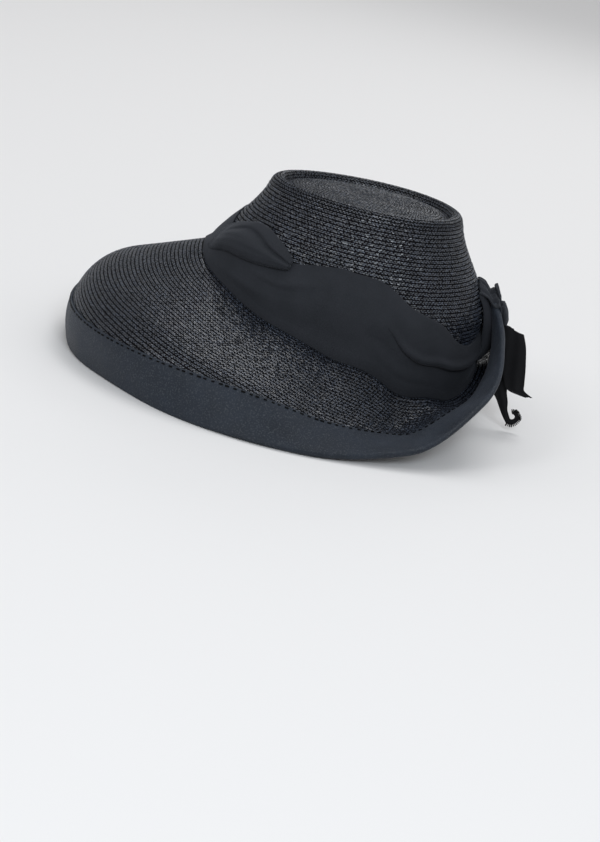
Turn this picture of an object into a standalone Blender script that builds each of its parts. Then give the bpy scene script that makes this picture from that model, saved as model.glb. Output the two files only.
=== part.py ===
"""Wide-brim straw hat with a draped scarf.

The hat stands on its rim on the plane z = 0, its front towards -Y and the wearer's left towards +X.
A bearing is the angle round the crown: 0 at the front, 90 at the wearer's left, 180 at the back.
Every piece is worked out at the same bearings, so that neighbours follow one another facet by facet.
"""
import bpy
import bmesh
import numpy as np
from math import atan2, cos, degrees, pi, radians, sin, tan

# Driving sizes, in metres
CROWN_HEIGHT = 0.1535        # crest of the crown's rolled edge above the rim's plane
TOP_LENGTH = 0.145           # crown's top edge, front to back
TOP_WIDTH = 0.1185           # crown's top edge, side to side
TOP_BACKSET = 0.003          # middle of the top edge, behind the middle of the foot
FLARE_LENGTHWAYS = 0.0347    # how far the side wall spreads at the front and the back
FLARE_SIDEWAYS = 0.0235      # how far it spreads at the sides
FLARE_FOOT = 0.0805          # height above the rim's plane where the spread is full
FLARE_RISE = 0.073           # the spread dies away over this height
STRAW_WALL = 0.0022          # sewn braid, lapped
ROLL_WIDTH = 0.0115          # rolled edge, from the outside to the bottom of the groove
GROOVE_DEPTH = 0.0060        # groove between the rolled edge and the tip
BRIM_ARC = 0.148             # brim measured along its surface at the front
BACK_RIM_LIFT = 0.102        # rim at the centre back above the rim's plane
BINDING_WIDTH = 0.032        # ribbon on the upper side of the brim
BINDING_UNDER = 0.0213       # ribbon turned under
RIBBON_WALL = 0.0010
BAND_HEIGHT = 0.062          # tallest part of the draped band above the crown's foot
BAND_TOE = 0.0032            # how far the band's lower edge lies out on the brim
CREPE_WALL = 0.0015          # doubled crepe
BAND_SWELL = 0.0015          # fullness of the draped band
TWIST_SWELL = 0.0105         # fullness of the twist at the front left
STRAP_SPREAD = 12.0          # half the strap's width, as a bearing
STRAP_START = 0.62           # strap's lower end, as a share of the band's height
STRAP_ARCH = 0.0070          # where the strap leaves the crown, above the rim
STRAP_CAMBER = 0.2           # how far its bridge to the rim bows up, as a share of the arch
KNOT_WIDTH = 0.024
KNOT_HEIGHT = 0.0175
KNOT_DEPTH = 0.0058
KNOT_PINCH = 0.10            # share of its height lost across the middle
KNOT_STANDOFF = 0.0008       # off the middle of the strap, which hollows there
KNOT_PLACE = 0.53            # knot's middle below the rim, as a share of the binding's width
STUB_RISE = 0.0070           # short end above the bound rim
STUB_CLEARANCE = 0.0025      # short end, above the knot that it comes out of
BROAD_TAIL_LENGTH = 0.0505
BROAD_TAIL_WIDTH = 0.0185
FRINGED_TAIL_LENGTH = 0.0735
FRINGED_TAIL_WIDTH = 0.0120
FRINGE_LENGTH = 0.0016       # strips that stand for the fringe
CURL_RADIUS = 0.0022         # inside of the hook at the end of the fringed tail
TAIL_SIDESTEP = 0.0045       # each tail to its side of the centre line
GAP = 0.0003
LEVEL_GAP = 1.6 * GAP        # the same gap beside the flared wall, measured level
TWIST_GAP = 2.5 * GAP        # under the twist, whose facets are broader than the band's

# Facets
BEARINGS = 60
BARE_RINGS = 3               # crown wall above the band
BRIM_RINGS = 6

# The top edge is egg-shaped, wider at the back; the foot keeps this share of that shape
EGG = 0.10
EGG_LEFT_AT_FOOT = 0.4

# Brim sections. Slopes are degrees below the level; a slope turns from start to end round the bend's
# place, over the bend's spread, both as shares of the section's own arc.
# bearing, arc / BRIM_ARC, start slope, end slope, bend place, bend spread, rim lift / BACK_RIM_LIFT
BRIM_SECTIONS = (
    (0, 1.000, 22, 107, 0.710, 0.70, 0.00),
    (30, 0.925, 20, 110, 0.725, 0.57, 0.00),
    (60, 0.805, 19, 80, 0.725, 0.42, 0.00),
    (90, 0.665, 28, 30, 0.660, 0.36, 0.00),
    (115, 0.575, 44, -2, 0.430, 0.38, 0.10),
    (135, 0.475, 32, -32, 0.275, 0.44, 0.45),
    (155, 0.435, 9, -78, 0.230, 0.39, 0.77),
    (180, 0.460, 0, -110, 0.215, 0.50, 1.00),
)

# Rolled edge and tip, from the wall inwards: inset / ROLL_WIDTH, depth / GROOVE_DEPTH
ROLL_PROFILE = (
    (0.00, 1.10), (0.07, 0.50), (0.26, 0.12), (0.48, 0.00), (0.70, 0.20),
    (0.88, 0.72), (1.00, 1.00), (1.20, 0.80), (1.55, 0.50),
)
TIP_DEPTH = 0.37             # middle of the tip, as a share of GROOVE_DEPTH

# Band's upper edge. The wearer's right, at bearings over 180, carries it a little lower.
# bearing, height / BAND_HEIGHT
BAND_EDGE = (
    (0, 0.42), (12, 0.36), (24, 0.44), (46, 0.68), (64, 0.70), (78, 0.84), (92, 0.98), (108, 1.00),
    (121, 0.97), (132, 0.88), (146, 0.70), (158, 0.58), (180, 0.50), (204, 0.58), (228, 0.82),
    (252, 0.93), (282, 0.86), (312, 0.72), (338, 0.56), (360, 0.42),
)
# Rows of the band's outer side: share of its height, share of BAND_SWELL
BAND_ROWS = ((0.16, 0.70), (0.40, 1.00), (0.70, 0.80), (1.00, 0.00))

# Lower edge of the band's second layer at the back: bearing, share of the band's height
SECOND_LAYER_EDGE = ((108, 0.42), (126, 0.36), (144, 0.33), (180, 0.36), (216, 0.33), (252, 0.42))

# Twist: bearing, lower edge / BAND_HEIGHT, upper edge / BAND_HEIGHT, swell / TWIST_SWELL
TWIST_SECTIONS = (
    (12, 0.15, 0.27, 0.24), (18, 0.17, 0.43, 0.62), (24, 0.20, 0.55, 0.86), (30, 0.25, 0.64, 0.97),
    (36, 0.30, 0.71, 1.00), (42, 0.35, 0.76, 0.96), (48, 0.42, 0.79, 0.86), (54, 0.49, 0.79, 0.70),
    (60, 0.55, 0.76, 0.48), (66, 0.61, 0.71, 0.24),
)
# Outer side of the twist across its width: share of the width, share of the swell
TWIST_CROSS = (
    (0.00, 0.20), (0.14, 0.74), (0.34, 1.00), (0.52, 0.72), (0.70, 0.98), (0.90, 0.70), (1.00, 0.20),
)

# Tails below the knot: drop / length, set back / width, width / width, step aside / TAIL_SIDESTEP,
# rise of the far edge / width
BROAD_TAIL = (
    (0.00, 0.00, 0.88, 0.5, -0.22), (0.20, 0.12, 0.97, 0.9, -0.15), (0.44, 0.26, 0.98, 1.2, -0.10),
    (0.62, 0.38, 0.95, 1.3, -0.06), (0.80, 0.56, 0.84, 1.3, 0.00), (0.94, 0.78, 0.70, 1.1, 0.08),
    (1.00, 1.40, 0.46, 0.8, 0.02),
)
FRINGED_TAIL = (
    (0.00, 0.00, 0.70, -0.5, -0.20), (0.20, 0.30, 0.80, -0.8, -0.06), (0.44, 0.28, 0.95, -0.8, 0.00),
    (0.66, 0.20, 1.03, 0.0, 0.00), (0.79, 0.75, 0.71, 0.7, 0.02), (0.92, 1.26, 0.30, 0.9, 0.33),
    (1.00, 1.63, 0.20, 1.0, 0.31),
)
TAIL_BOW = 0.8               # how far a tail is bowed across its width, as a share of CREPE_WALL
FRINGE_STRIPS = 9
HOOK_TURN = 225.0            # how far the fringed tail's end curls round, in degrees
HOOK_TAPER = 0.55            # share of its width that the tail loses round the hook


def smooth_step(share):
    share = np.clip(share, 0.0, 1.0)
    return share * share * (3.0 - 2.0 * share)


def eased(rows, column, bearing, mirrored):
    """Value of a table's column at a bearing: a cubic through its rows that never overshoots them."""
    places = [float(row[0]) for row in rows]
    values = [float(row[column]) for row in rows]
    turned = bearing % 360.0
    if mirrored:
        turned = min(turned, 360.0 - turned)
        places = [-places[1]] + places + [360.0 - places[-2]]
        values = [values[1]] + values + [values[-2]]
    steps = np.diff(places)
    slopes = np.diff(values) / steps
    tangents = [slopes[0]]
    for before, after in zip(slopes[:-1], slopes[1:]):
        tangents.append(0.0 if before * after <= 0.0 else 2.0 * before * after / (before + after))
    tangents.append(slopes[-1])
    span = int(np.clip(np.searchsorted(places, turned) - 1, 0, len(steps) - 1))
    step = steps[span]
    t = float(np.clip((turned - places[span]) / step, 0.0, 1.0))
    return ((1 + 2 * t) * (1 - t) ** 2 * values[span] + t * (1 - t) ** 2 * step * tangents[span]
            + t * t * (3 - 2 * t) * values[span + 1] - t * t * (1 - t) * step * tangents[span + 1])


def oval_point(bearing, half_length, half_width, centre, egg):
    turn = radians(bearing)
    return np.array([half_width * sin(turn) * (1.0 - egg * cos(turn)), centre - half_length * cos(turn)])


def crown_outline(bearing, height, inset=0.0):
    """Plan point of the crown's outside at a height above the rim's plane."""
    spread = float(smooth_step((FLARE_FOOT + FLARE_RISE - height) / FLARE_RISE))
    return oval_point(
        bearing,
        TOP_LENGTH / 2 + FLARE_LENGTHWAYS * spread - inset,
        TOP_WIDTH / 2 + FLARE_SIDEWAYS * spread - inset,
        TOP_BACKSET * (1.0 - spread),
        EGG * (1.0 - (1.0 - EGG_LEFT_AT_FOOT) * spread),
    )


def outward(bearing):
    """Plan direction square to the foot of the crown."""
    ahead = crown_outline(bearing + 0.05, FLARE_FOOT)
    behind = crown_outline(bearing - 0.05, FLARE_FOOT)
    along = ahead - behind
    across = np.array([along[1], -along[0]])
    return across / np.linalg.norm(across)


class BrimSection:
    """The brim cut square to the crown's foot: reach, drop and slope along its arc."""

    STEPS = 160

    def __init__(self, bearing):
        share, start, end, place, spread, lift = (
            eased(BRIM_SECTIONS, column, bearing, mirrored=True) for column in range(1, 7))
        self.bearing = bearing
        self.arc = BRIM_ARC * share
        along = np.linspace(0.0, 1.0, self.STEPS + 1)
        turned = smooth_step((along - place) / spread + 0.5)
        self.slopes = np.radians(start + (end - start) * turned)
        middle = (self.slopes[1:] + self.slopes[:-1]) / 2
        step = self.arc / self.STEPS
        self.lengths = along * self.arc
        self.reaches = np.concatenate([[0.0], np.cumsum(np.cos(middle) * step)])
        self.drops = np.concatenate([[0.0], np.cumsum(np.sin(middle) * step)])
        self.direction = outward(bearing)
        self.foot_height = BACK_RIM_LIFT * lift + self.drops[-1] + self.sole()
        self.foot = np.append(crown_outline(bearing, self.foot_height), self.foot_height)

    def sole(self):
        """How far the bound edge reaches below the end of the straw."""
        end = self.slopes[-1]
        beyond = (GAP + RIBBON_WALL) * sin(end)
        under = (STRAW_WALL + GAP + RIBBON_WALL) * cos(end)
        over = -(GAP + RIBBON_WALL) * cos(end)
        return beyond + max(under, over)

    def point(self, length, lift):
        """A point at a length along the upper side, lifted square to it. Lengths may pass either end."""
        inside = float(np.clip(length, 0.0, self.arc))
        slope = float(np.interp(inside, self.lengths, self.slopes))
        past = length - inside
        reach = float(np.interp(inside, self.lengths, self.reaches)) + past * cos(slope) + lift * sin(slope)
        drop = float(np.interp(inside, self.lengths, self.drops)) + past * sin(slope) - lift * cos(slope)
        return self.foot + np.append(self.direction * reach, -drop)

    def wall_heights(self):
        """Heights of the crown's wall rings above the foot, those under the band level with its rows."""
        top = CROWN_HEIGHT - ROLL_PROFILE[0][1] * GROOVE_DEPTH - self.foot_height
        band = self.band_height()
        bare = [band + (top - band) * ring / BARE_RINGS for ring in range(1, BARE_RINGS + 1)]
        return [0.0] + [band * share for share, swell in BAND_ROWS] + bare

    def wall_point(self, height, offset):
        """A point on the crown's faceted wall at a height above the foot, offset straight outwards."""
        rings = self.wall_heights()
        outlines = [crown_outline(self.bearing, self.foot_height + ring) for ring in rings]
        x = np.interp(height, rings, [outline[0] for outline in outlines])
        y = np.interp(height, rings, [outline[1] for outline in outlines])
        return np.append(np.array([x, y]) + self.direction * offset, self.foot_height + height)

    def on_brim(self, length, lift):
        """A point lifted off the brim's faceted upper side, near the foot."""
        rings = brim_lengths(self)
        ring = int(np.searchsorted(rings, length)) - 1
        before, after = self.point(rings[ring], 0.0), self.point(rings[ring + 1], 0.0)
        share = (length - rings[ring]) / (rings[ring + 1] - rings[ring])
        return before * (1 - share) + after * share + self.point(length, lift) - self.point(length, 0.0)

    def band_height(self):
        return BAND_HEIGHT * eased(BAND_EDGE, 1, self.bearing, mirrored=False)

    def band_rows(self):
        """The outer side of the draped band, from its toe on the brim to its upper edge."""
        height = self.band_height()
        rows = [self.on_brim(BAND_TOE + CREPE_WALL, GAP)]
        for share, swell in BAND_ROWS:
            rows.append(self.wall_point(height * share, LEVEL_GAP + CREPE_WALL + BAND_SWELL * swell))
        return rows

    def on_band(self, height, offset):
        """A point on the band's faceted outer side, or above it on the line of its upper edge."""
        top = self.band_height()
        if height > top:
            return self.wall_point(height, LEVEL_GAP + CREPE_WALL + offset)
        rows = self.band_rows()[1:]
        shares = [share for share, swell in BAND_ROWS]
        row = int(np.clip(np.searchsorted(shares, height / top) - 1, 0, len(shares) - 2))
        t = (height / top - shares[row]) / (shares[row + 1] - shares[row])
        return rows[row] * (1 - t) + rows[row + 1] * t + np.append(self.direction * offset, 0.0)


def brim_lengths(section):
    """Lengths along the brim where its facets turn, the last ones shared with the binding."""
    free = section.arc - BINDING_WIDTH
    lengths = [-STRAW_WALL] + [free * n / BRIM_RINGS for n in range(BRIM_RINGS + 1)]
    return lengths + [section.arc - BINDING_WIDTH * share for share in (2 / 3, 1 / 3, 0.0)]


def bearings_between(first, last):
    step = 360.0 / BEARINGS
    return [round(first / step) * step + step * n for n in range(int(round((last - first) / step)) + 1)]


SECTIONS = {bearing: BrimSection(bearing) for bearing in bearings_between(0, 354)}


def section_at(bearing):
    return SECTIONS[bearing % 360.0]


def matt_finish(name, colour, roughness):
    material = bpy.data.materials.new(name)
    material.use_nodes = True
    shader = material.node_tree.nodes["Principled BSDF"]
    shader.inputs["Base Color"].default_value = (*colour, 1.0)
    shader.inputs["Roughness"].default_value = roughness
    shader.inputs["Metallic"].default_value = 0.0
    return material


def add_piece(name, points, faces, material):
    """One closed body, its faces turned outwards, as an object of its own."""
    mesh = bpy.data.meshes.new(name)
    mesh.from_pydata([tuple(point) for point in points], [], faces)
    body = bmesh.new()
    body.from_mesh(mesh)
    bmesh.ops.recalc_face_normals(body, faces=body.faces)
    bmesh.ops.triangulate(body, faces=body.faces)
    body.to_mesh(mesh)
    body.free()
    mesh.shade_smooth()
    mesh.set_sharp_from_angle(angle=radians(40))
    mesh.materials.append(material)
    piece = bpy.data.objects.new(name, mesh)
    bpy.context.scene.collection.objects.link(piece)
    return piece


def ring_piece(name, loops, material, closed=True):
    """A solid swept through closed loops, itself closed into a ring or capped at both ends."""
    count, size = len(loops), len(loops[0])
    points = [point for loop in loops for point in loop]
    faces = []
    for loop in range(count if closed else count - 1):
        after = (loop + 1) % count
        for corner in range(size):
            beside = (corner + 1) % size
            faces.append((loop * size + corner, after * size + corner,
                          after * size + beside, loop * size + beside))
    if not closed:
        faces.append(tuple(range(size)))
        faces.append(tuple((count - 1) * size + corner for corner in reversed(range(size))))
    return add_piece(name, points, faces, material)


def cloth_piece(name, rows, material):
    """A thin sheet: each row holds pairs of points, one on each side of the cloth."""
    loops = []
    for row in rows:
        loops.append([pair[0] for pair in row] + [pair[1] for pair in reversed(row)])
    return ring_piece(name, loops, material, closed=False)


def top_ring(inset, depth):
    """A ring of the rolled edge or the tip, inset from the top outline, at a depth below the crest."""
    return [np.append(crown_outline(section.bearing, CROWN_HEIGHT, inset), CROWN_HEIGHT - depth)
            for section in SECTIONS.values()]


def crown_foot(offset):
    """The wall's lower edge, seated on the slope of the brim's inner margin."""
    ring = []
    for section in SECTIONS.values():
        slope = section.slopes[0]
        seat = GAP / cos(slope) - offset * tan(slope)
        ring.append(section.wall_point(0.0, offset) + np.array([0.0, 0.0, seat]))
    return ring


def build_crown(material):
    """Side wall, rolled edge, groove and sunk tip, open at the foot."""
    rings = [crown_foot(0.0)]
    rises = range(1, 1 + len(BAND_ROWS) + BARE_RINGS)
    for ring in rises:
        rings.append([section.wall_point(section.wall_heights()[ring], 0.0)
                      for section in SECTIONS.values()])
    profile = [(inset * ROLL_WIDTH, depth * GROOVE_DEPTH) for inset, depth in ROLL_PROFILE]
    for inset, depth in profile[1:]:
        rings.append(top_ring(inset, depth))
    tip = np.array([0.0, TOP_BACKSET, CROWN_HEIGHT - TIP_DEPTH * GROOVE_DEPTH])
    rings.append([tip])
    rings.append([tip - np.array([0.0, 0.0, STRAW_WALL])])
    for index in reversed(range(1, len(profile))):
        before = profile[index - 1]
        after = profile[min(index + 1, len(profile) - 1)]
        along = np.array([after[0] - before[0], after[1] - before[1]])
        inwards = np.array([-along[1], along[0]]) / np.linalg.norm(along) * STRAW_WALL
        rings.append(top_ring(profile[index][0] + inwards[0], profile[index][1] + inwards[1]))
    for ring in reversed(rises):
        rings.append([section.wall_point(section.wall_heights()[ring], -STRAW_WALL)
                      for section in SECTIONS.values()])
    rings.append(crown_foot(-STRAW_WALL))
    points, faces, starts = [], [], []
    for ring in rings:
        starts.append(len(points))
        points.extend(ring)
    for index in range(len(rings)):
        after = (index + 1) % len(rings)
        here, there = rings[index], rings[after]
        if len(here) == 1 and len(there) == 1:
            continue
        for corner in range(BEARINGS):
            beside = (corner + 1) % BEARINGS
            face = [starts[index] + (corner if len(here) > 1 else 0)]
            if len(there) > 1:
                face += [starts[after] + corner, starts[after] + beside]
            else:
                face += [starts[after]]
            if len(here) > 1:
                face += [starts[index] + beside]
            faces.append(tuple(face))
    return add_piece("crown", points, faces, material)


def build_brim(material):
    loops = []
    for section in SECTIONS.values():
        lengths = brim_lengths(section)
        over = [section.point(length, 0.0) for length in lengths]
        under = [section.point(length, -STRAW_WALL) for length in reversed(lengths)]
        loops.append(over + under)
    return ring_piece("brim", loops, material)


def build_binding(material):
    """Ribbon folded over the brim's edge. Its fold is flat where the brim stands on it."""
    over, under = GAP + RIBBON_WALL, -(STRAW_WALL + GAP + RIBBON_WALL)
    loops = []
    for section in SECTIONS.values():
        arc = section.arc
        turn_under = arc - BINDING_UNDER
        outer_fold = section.point(arc + GAP + RIBBON_WALL, over)
        inner_fold = section.point(arc + GAP + RIBBON_WALL, under)
        if section.slopes[-1] > pi / 2:
            lowest = min(outer_fold[2], inner_fold[2])
            outer_fold[2] = lowest
            inner_fold[2] = lowest
        upper_leg = [arc - BINDING_WIDTH * share for share in (1.0, 2 / 3, 1 / 3)]
        under_leg = [arc - BINDING_WIDTH / 3, turn_under]
        loop = [section.point(length, over) for length in upper_leg]
        loop += [outer_fold, inner_fold]
        loop += [section.point(length, under) for length in under_leg]
        loop += [section.point(length, -STRAW_WALL - GAP) for length in reversed(under_leg)]
        loop += [section.point(arc + GAP, -STRAW_WALL - GAP), section.point(arc + GAP, GAP)]
        loop += [section.point(length, GAP) for length in reversed(upper_leg)]
        loops.append(loop)
    return ring_piece("brim_binding", loops, material)


def build_band(material):
    """Main layer of the scarf, draped round the foot of the crown with its toe on the brim."""
    loops = []
    for section in SECTIONS.values():
        height = section.band_height()
        inner = [section.wall_point(height * share, LEVEL_GAP) for share, swell in reversed(BAND_ROWS)]
        inner.append(section.on_brim(BAND_TOE, GAP))
        loops.append(section.band_rows() + inner)
    return ring_piece("scarf_lower_fold", loops, material)


def build_second_layer(material):
    """Upper layer, which hangs over the main one round the back, with a rolled lower edge."""
    rows = []
    for bearing in bearings_between(SECOND_LAYER_EDGE[0][0], SECOND_LAYER_EDGE[-1][0]):
        section = section_at(bearing)
        top = section.band_height()
        low = eased(SECOND_LAYER_EDGE, 1, bearing, mirrored=False)
        row = []
        for share, fullness in ((low, 1.4), (0.70, 1.0), (1.0, 0.6)):
            near = section.on_band(top * share, GAP)
            far = section.on_band(top * share, GAP + CREPE_WALL * fullness)
            row.append((near, far))
        rows.append(row)
    return cloth_piece("scarf_upper_fold", rows, material)


def build_twist(material):
    """Puffed twist of the scarf over the band at the front left, in two lobes with a crease between."""
    loops = []
    for bearing, low, high, swell in TWIST_SECTIONS:
        section = section_at(bearing)
        low_height, high_height = low * BAND_HEIGHT, high * BAND_HEIGHT
        loop = []
        for across, fullness in TWIST_CROSS:
            height = low_height + (high_height - low_height) * across
            loop.append(section.on_band(height, TWIST_GAP + TWIST_SWELL * swell * fullness))
        for across in (1.0, 0.75, 0.5, 0.25, 0.0):
            height = low_height + (high_height - low_height) * across
            loop.append(section.on_band(height, TWIST_GAP))
        loops.append(loop)
    return ring_piece("scarf_twist", loops, material, closed=False)


def outside_strap():
    """Lift below the brim's upper side of the strap's outer face, outside the bound rim."""
    return STRAW_WALL + GAP + RIBBON_WALL + GAP + CREPE_WALL


def build_strap(material):
    """Runs up the crown's back from the band, over the bound rim and down the brim's outside."""
    clear = GAP + RIBBON_WALL + GAP
    rows = []
    for bearing in bearings_between(180 - STRAP_SPREAD, 180 + STRAP_SPREAD):
        section = section_at(bearing)
        arc, band = section.arc, section.band_height()
        rim = section.point(arc + clear, 0.0)
        rim_height = rim[2] - section.foot_height
        row = []
        for share in (STRAP_START, 1.0):
            row.append((section.on_band(band * share, 2 * GAP + CREPE_WALL),
                        section.on_band(band * share, 2 * GAP + 2 * CREPE_WALL)))
        bare_ring = section.wall_heights()[len(BAND_ROWS) + 1]
        crest = rim_height + STRAP_ARCH
        for height in sorted(((band + bare_ring) / 2, bare_ring, crest)):
            row.append((section.wall_point(height, LEVEL_GAP),
                        section.wall_point(height, LEVEL_GAP + CREPE_WALL)))
        bridge = (section.wall_point(crest, LEVEL_GAP) + rim) / 2
        bridge[2] += STRAP_ARCH * STRAP_CAMBER
        row.append((bridge + np.array([0.0, 0.0, CREPE_WALL]), bridge))
        row.append((section.point(arc + clear + CREPE_WALL, GAP), section.point(arc + clear, GAP)))
        row.append((section.point(arc + clear + CREPE_WALL / 2, -STRAW_WALL - clear - CREPE_WALL / 2),
                    section.point(arc + clear, -STRAW_WALL - clear)))
        for length in (arc - BINDING_WIDTH / 3, arc - BINDING_WIDTH * 2 / 3):
            row.append((section.point(length, -STRAW_WALL - clear - CREPE_WALL),
                        section.point(length, -STRAW_WALL - clear)))
        rows.append(row)
    return cloth_piece("scarf_strap", rows, material)


def knot_frame():
    """Middle of the knot, with the directions out of the brim's back and up along it."""
    back = section_at(180)
    length = back.arc - BINDING_WIDTH * KNOT_PLACE
    slope = float(np.interp(length, back.lengths, back.slopes))
    centre = back.point(length, -(outside_strap() + KNOT_STANDOFF + KNOT_DEPTH / 2))
    return centre, np.array([0.0, -sin(slope), -cos(slope)]), np.array([0.0, cos(slope), -sin(slope)])


def build_knot(material):
    """Flattened knot against the strap's outside, pinched across its middle."""
    centre, outwards, upwards = knot_frame()
    sides, stations = 12, 9
    loops = []
    for station in range(stations):
        along = -cos(pi * (station + 0.5) / stations)
        round_off = (1.0 - along ** 4) ** 0.5
        pinch = 1.0 - KNOT_PINCH * (1.0 - abs(along)) ** 2
        loop = []
        for side in range(sides):
            turn = 2 * pi * side / sides
            depth = KNOT_DEPTH / 2 * sin(turn) * round_off
            rise = KNOT_HEIGHT / 2 * cos(turn) * round_off * pinch
            loop.append(centre + np.array([KNOT_WIDTH / 2 * along, 0.0, 0.0])
                        + outwards * depth + upwards * rise)
        loops.append(loop)
    return ring_piece("scarf_knot", loops, material, closed=False)


def build_stub(material):
    """Short end that stands up outside the strap, above the rim."""
    lift = -(outside_strap() + GAP)
    rows = []
    for bearing in bearings_between(174, 186):
        section = section_at(bearing)
        start = section.arc - BINDING_WIDTH * KNOT_PLACE + KNOT_HEIGHT / 2 + STUB_CLEARANCE
        row = []
        for share in (0.0, 0.5, 1.0):
            length = start + (section.arc + STUB_RISE - start) * share
            row.append((section.point(length, lift), section.point(length, lift - CREPE_WALL)))
        rows.append(row)
    return cloth_piece("scarf_end_stub", rows, material)


def cloth_row(inner, outer, bow):
    """Three pairs of points across a tail that faces sideways, bowed a little to one side."""
    side = np.array([CREPE_WALL / 2, 0.0, 0.0])
    row = []
    for share in (0.0, 0.5, 1.0):
        point = inner + (outer - inner) * share + np.array([bow * sin(pi * share), 0.0, 0.0])
        row.append((point + side, point - side))
    return row


def tail_rows(table, length, width, start):
    rows = []
    for drop, setback, breadth, aside, rise in table:
        inner = start + np.array([aside * TAIL_SIDESTEP, setback * width, -drop * length])
        outer = inner + np.array([0.0, breadth * width, rise * width])
        rows.append(cloth_row(inner, outer, CREPE_WALL * TAIL_BOW))
    return rows


def tails_start():
    """Under the lower end of the knot."""
    centre, outwards, upwards = knot_frame()
    return centre - outwards * KNOT_DEPTH / 5 - upwards * (KNOT_HEIGHT / 2 * (1.0 - KNOT_PINCH) + GAP)


def build_broad_tail(material):
    rows = tail_rows(BROAD_TAIL, BROAD_TAIL_LENGTH, BROAD_TAIL_WIDTH, tails_start())
    return cloth_piece("scarf_tail_broad", rows, material)


def build_fringed_tail(material):
    """Narrow tail whose end hooks back and up, its outer edge cut into fringe strips."""
    rows = tail_rows(FRINGED_TAIL, FRINGED_TAIL_LENGTH, FRINGED_TAIL_WIDTH, tails_start())
    low_edge = (rows[-1][0][0] + rows[-1][0][1]) / 2
    hook_edge = (rows[-1][2][0] + rows[-1][2][1]) / 2
    across = low_edge - hook_edge
    breadth = float(np.linalg.norm(across))
    centre = hook_edge - across / breadth * CURL_RADIUS
    first = degrees(atan2(across[1], -across[2]))
    steps = FRINGE_STRIPS * 4
    for step in range(1, steps + 1):
        turn = radians(first + HOOK_TURN * step / steps)
        direction = np.array([0.0, sin(turn), -cos(turn)])
        strip = FRINGE_LENGTH if step % 4 in (1, 2) else 0.0
        outer = CURL_RADIUS + breadth * (1.0 - HOOK_TAPER * step / steps) + strip
        rows.append(cloth_row(centre + direction * outer, centre + direction * CURL_RADIUS, 0.0))
    return cloth_piece("scarf_tail_fringed", rows, material)


def stand_on_origin(pieces):
    """Puts the middle of the whole hat's footprint over the origin, through the empty that carries it."""
    corners = np.array([vertex.co for piece in pieces for vertex in piece.data.vertices])
    low, high = corners.min(axis=0), corners.max(axis=0)
    carrier = bpy.data.objects.new("hat", None)
    bpy.context.scene.collection.objects.link(carrier)
    for piece in pieces:
        piece.parent = carrier
    carrier.location = (-(low[0] + high[0]) / 2, -(low[1] + high[1]) / 2, -low[2])


def build_hat():
    for leftover in list(bpy.data.objects):
        bpy.data.objects.remove(leftover, do_unlink=True)
    straw = matt_finish("black straw braid", (0.016, 0.017, 0.020), 0.34)
    ribbon = matt_finish("black ribbon", (0.024, 0.026, 0.031), 0.62)
    crepe = matt_finish("black crepe", (0.018, 0.019, 0.022), 0.80)
    pieces = [
        build_crown(straw),
        build_brim(straw),
        build_binding(ribbon),
        build_band(crepe),
        build_second_layer(crepe),
        build_twist(crepe),
        build_strap(crepe),
        build_knot(crepe),
        build_stub(crepe),
        build_broad_tail(crepe),
        build_fringed_tail(crepe),
    ]
    stand_on_origin(pieces)


build_hat()
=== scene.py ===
from math import cos, pi, radians, sin
from types import SimpleNamespace

import bmesh
import bpy
import numpy as np
from mathutils import Matrix, Vector


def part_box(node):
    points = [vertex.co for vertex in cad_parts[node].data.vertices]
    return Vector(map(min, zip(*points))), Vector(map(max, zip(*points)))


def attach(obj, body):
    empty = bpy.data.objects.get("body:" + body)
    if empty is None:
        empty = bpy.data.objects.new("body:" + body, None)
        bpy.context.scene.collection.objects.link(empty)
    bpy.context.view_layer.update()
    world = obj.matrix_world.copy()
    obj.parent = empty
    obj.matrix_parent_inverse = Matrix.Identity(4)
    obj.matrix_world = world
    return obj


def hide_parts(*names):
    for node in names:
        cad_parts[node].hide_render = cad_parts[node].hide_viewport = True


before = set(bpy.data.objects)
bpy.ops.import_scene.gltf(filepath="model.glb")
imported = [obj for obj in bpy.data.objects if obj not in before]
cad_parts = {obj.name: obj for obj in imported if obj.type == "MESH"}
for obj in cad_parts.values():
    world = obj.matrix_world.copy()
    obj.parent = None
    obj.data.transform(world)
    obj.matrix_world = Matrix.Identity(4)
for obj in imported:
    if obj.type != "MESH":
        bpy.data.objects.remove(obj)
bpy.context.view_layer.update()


# Camera and studio
# The hat stands on a pale floor and is seen from the wearer's left, from a little above, with the
# picture tipped the way the photograph is. Soft lights stand round it and above it.

CROWN_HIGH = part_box("crown")[1]
CROWN_BACK_REACH = 0.10716           # foot of the crown at the back, behind the middle of the crown's foot
HAT_BACKSET = CROWN_HIGH[1] - CROWN_BACK_REACH
AIM_HEIGHT = 0.080
CAMERA_DISTANCE = 1.6
CAMERA_RISE = radians(17.81)
CAMERA_TIP = radians(12.99)
FRAME_WIDTH, FRAME_HEIGHT = 600, 842
FOCAL_PIXELS = 2133.3
SENSOR_HEIGHT = 36.0
AIM_COLUMN, AIM_ROW = 342.9, 287.2   # where the aim point falls in the picture
LIGHT_AIM = Vector((0.0, 0.0, 0.06))
FLOOR_REACH = 14.0


def put_in_scene(name, data):
    thing = bpy.data.objects.new(name, data)
    bpy.context.scene.collection.objects.link(thing)
    return thing


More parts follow.
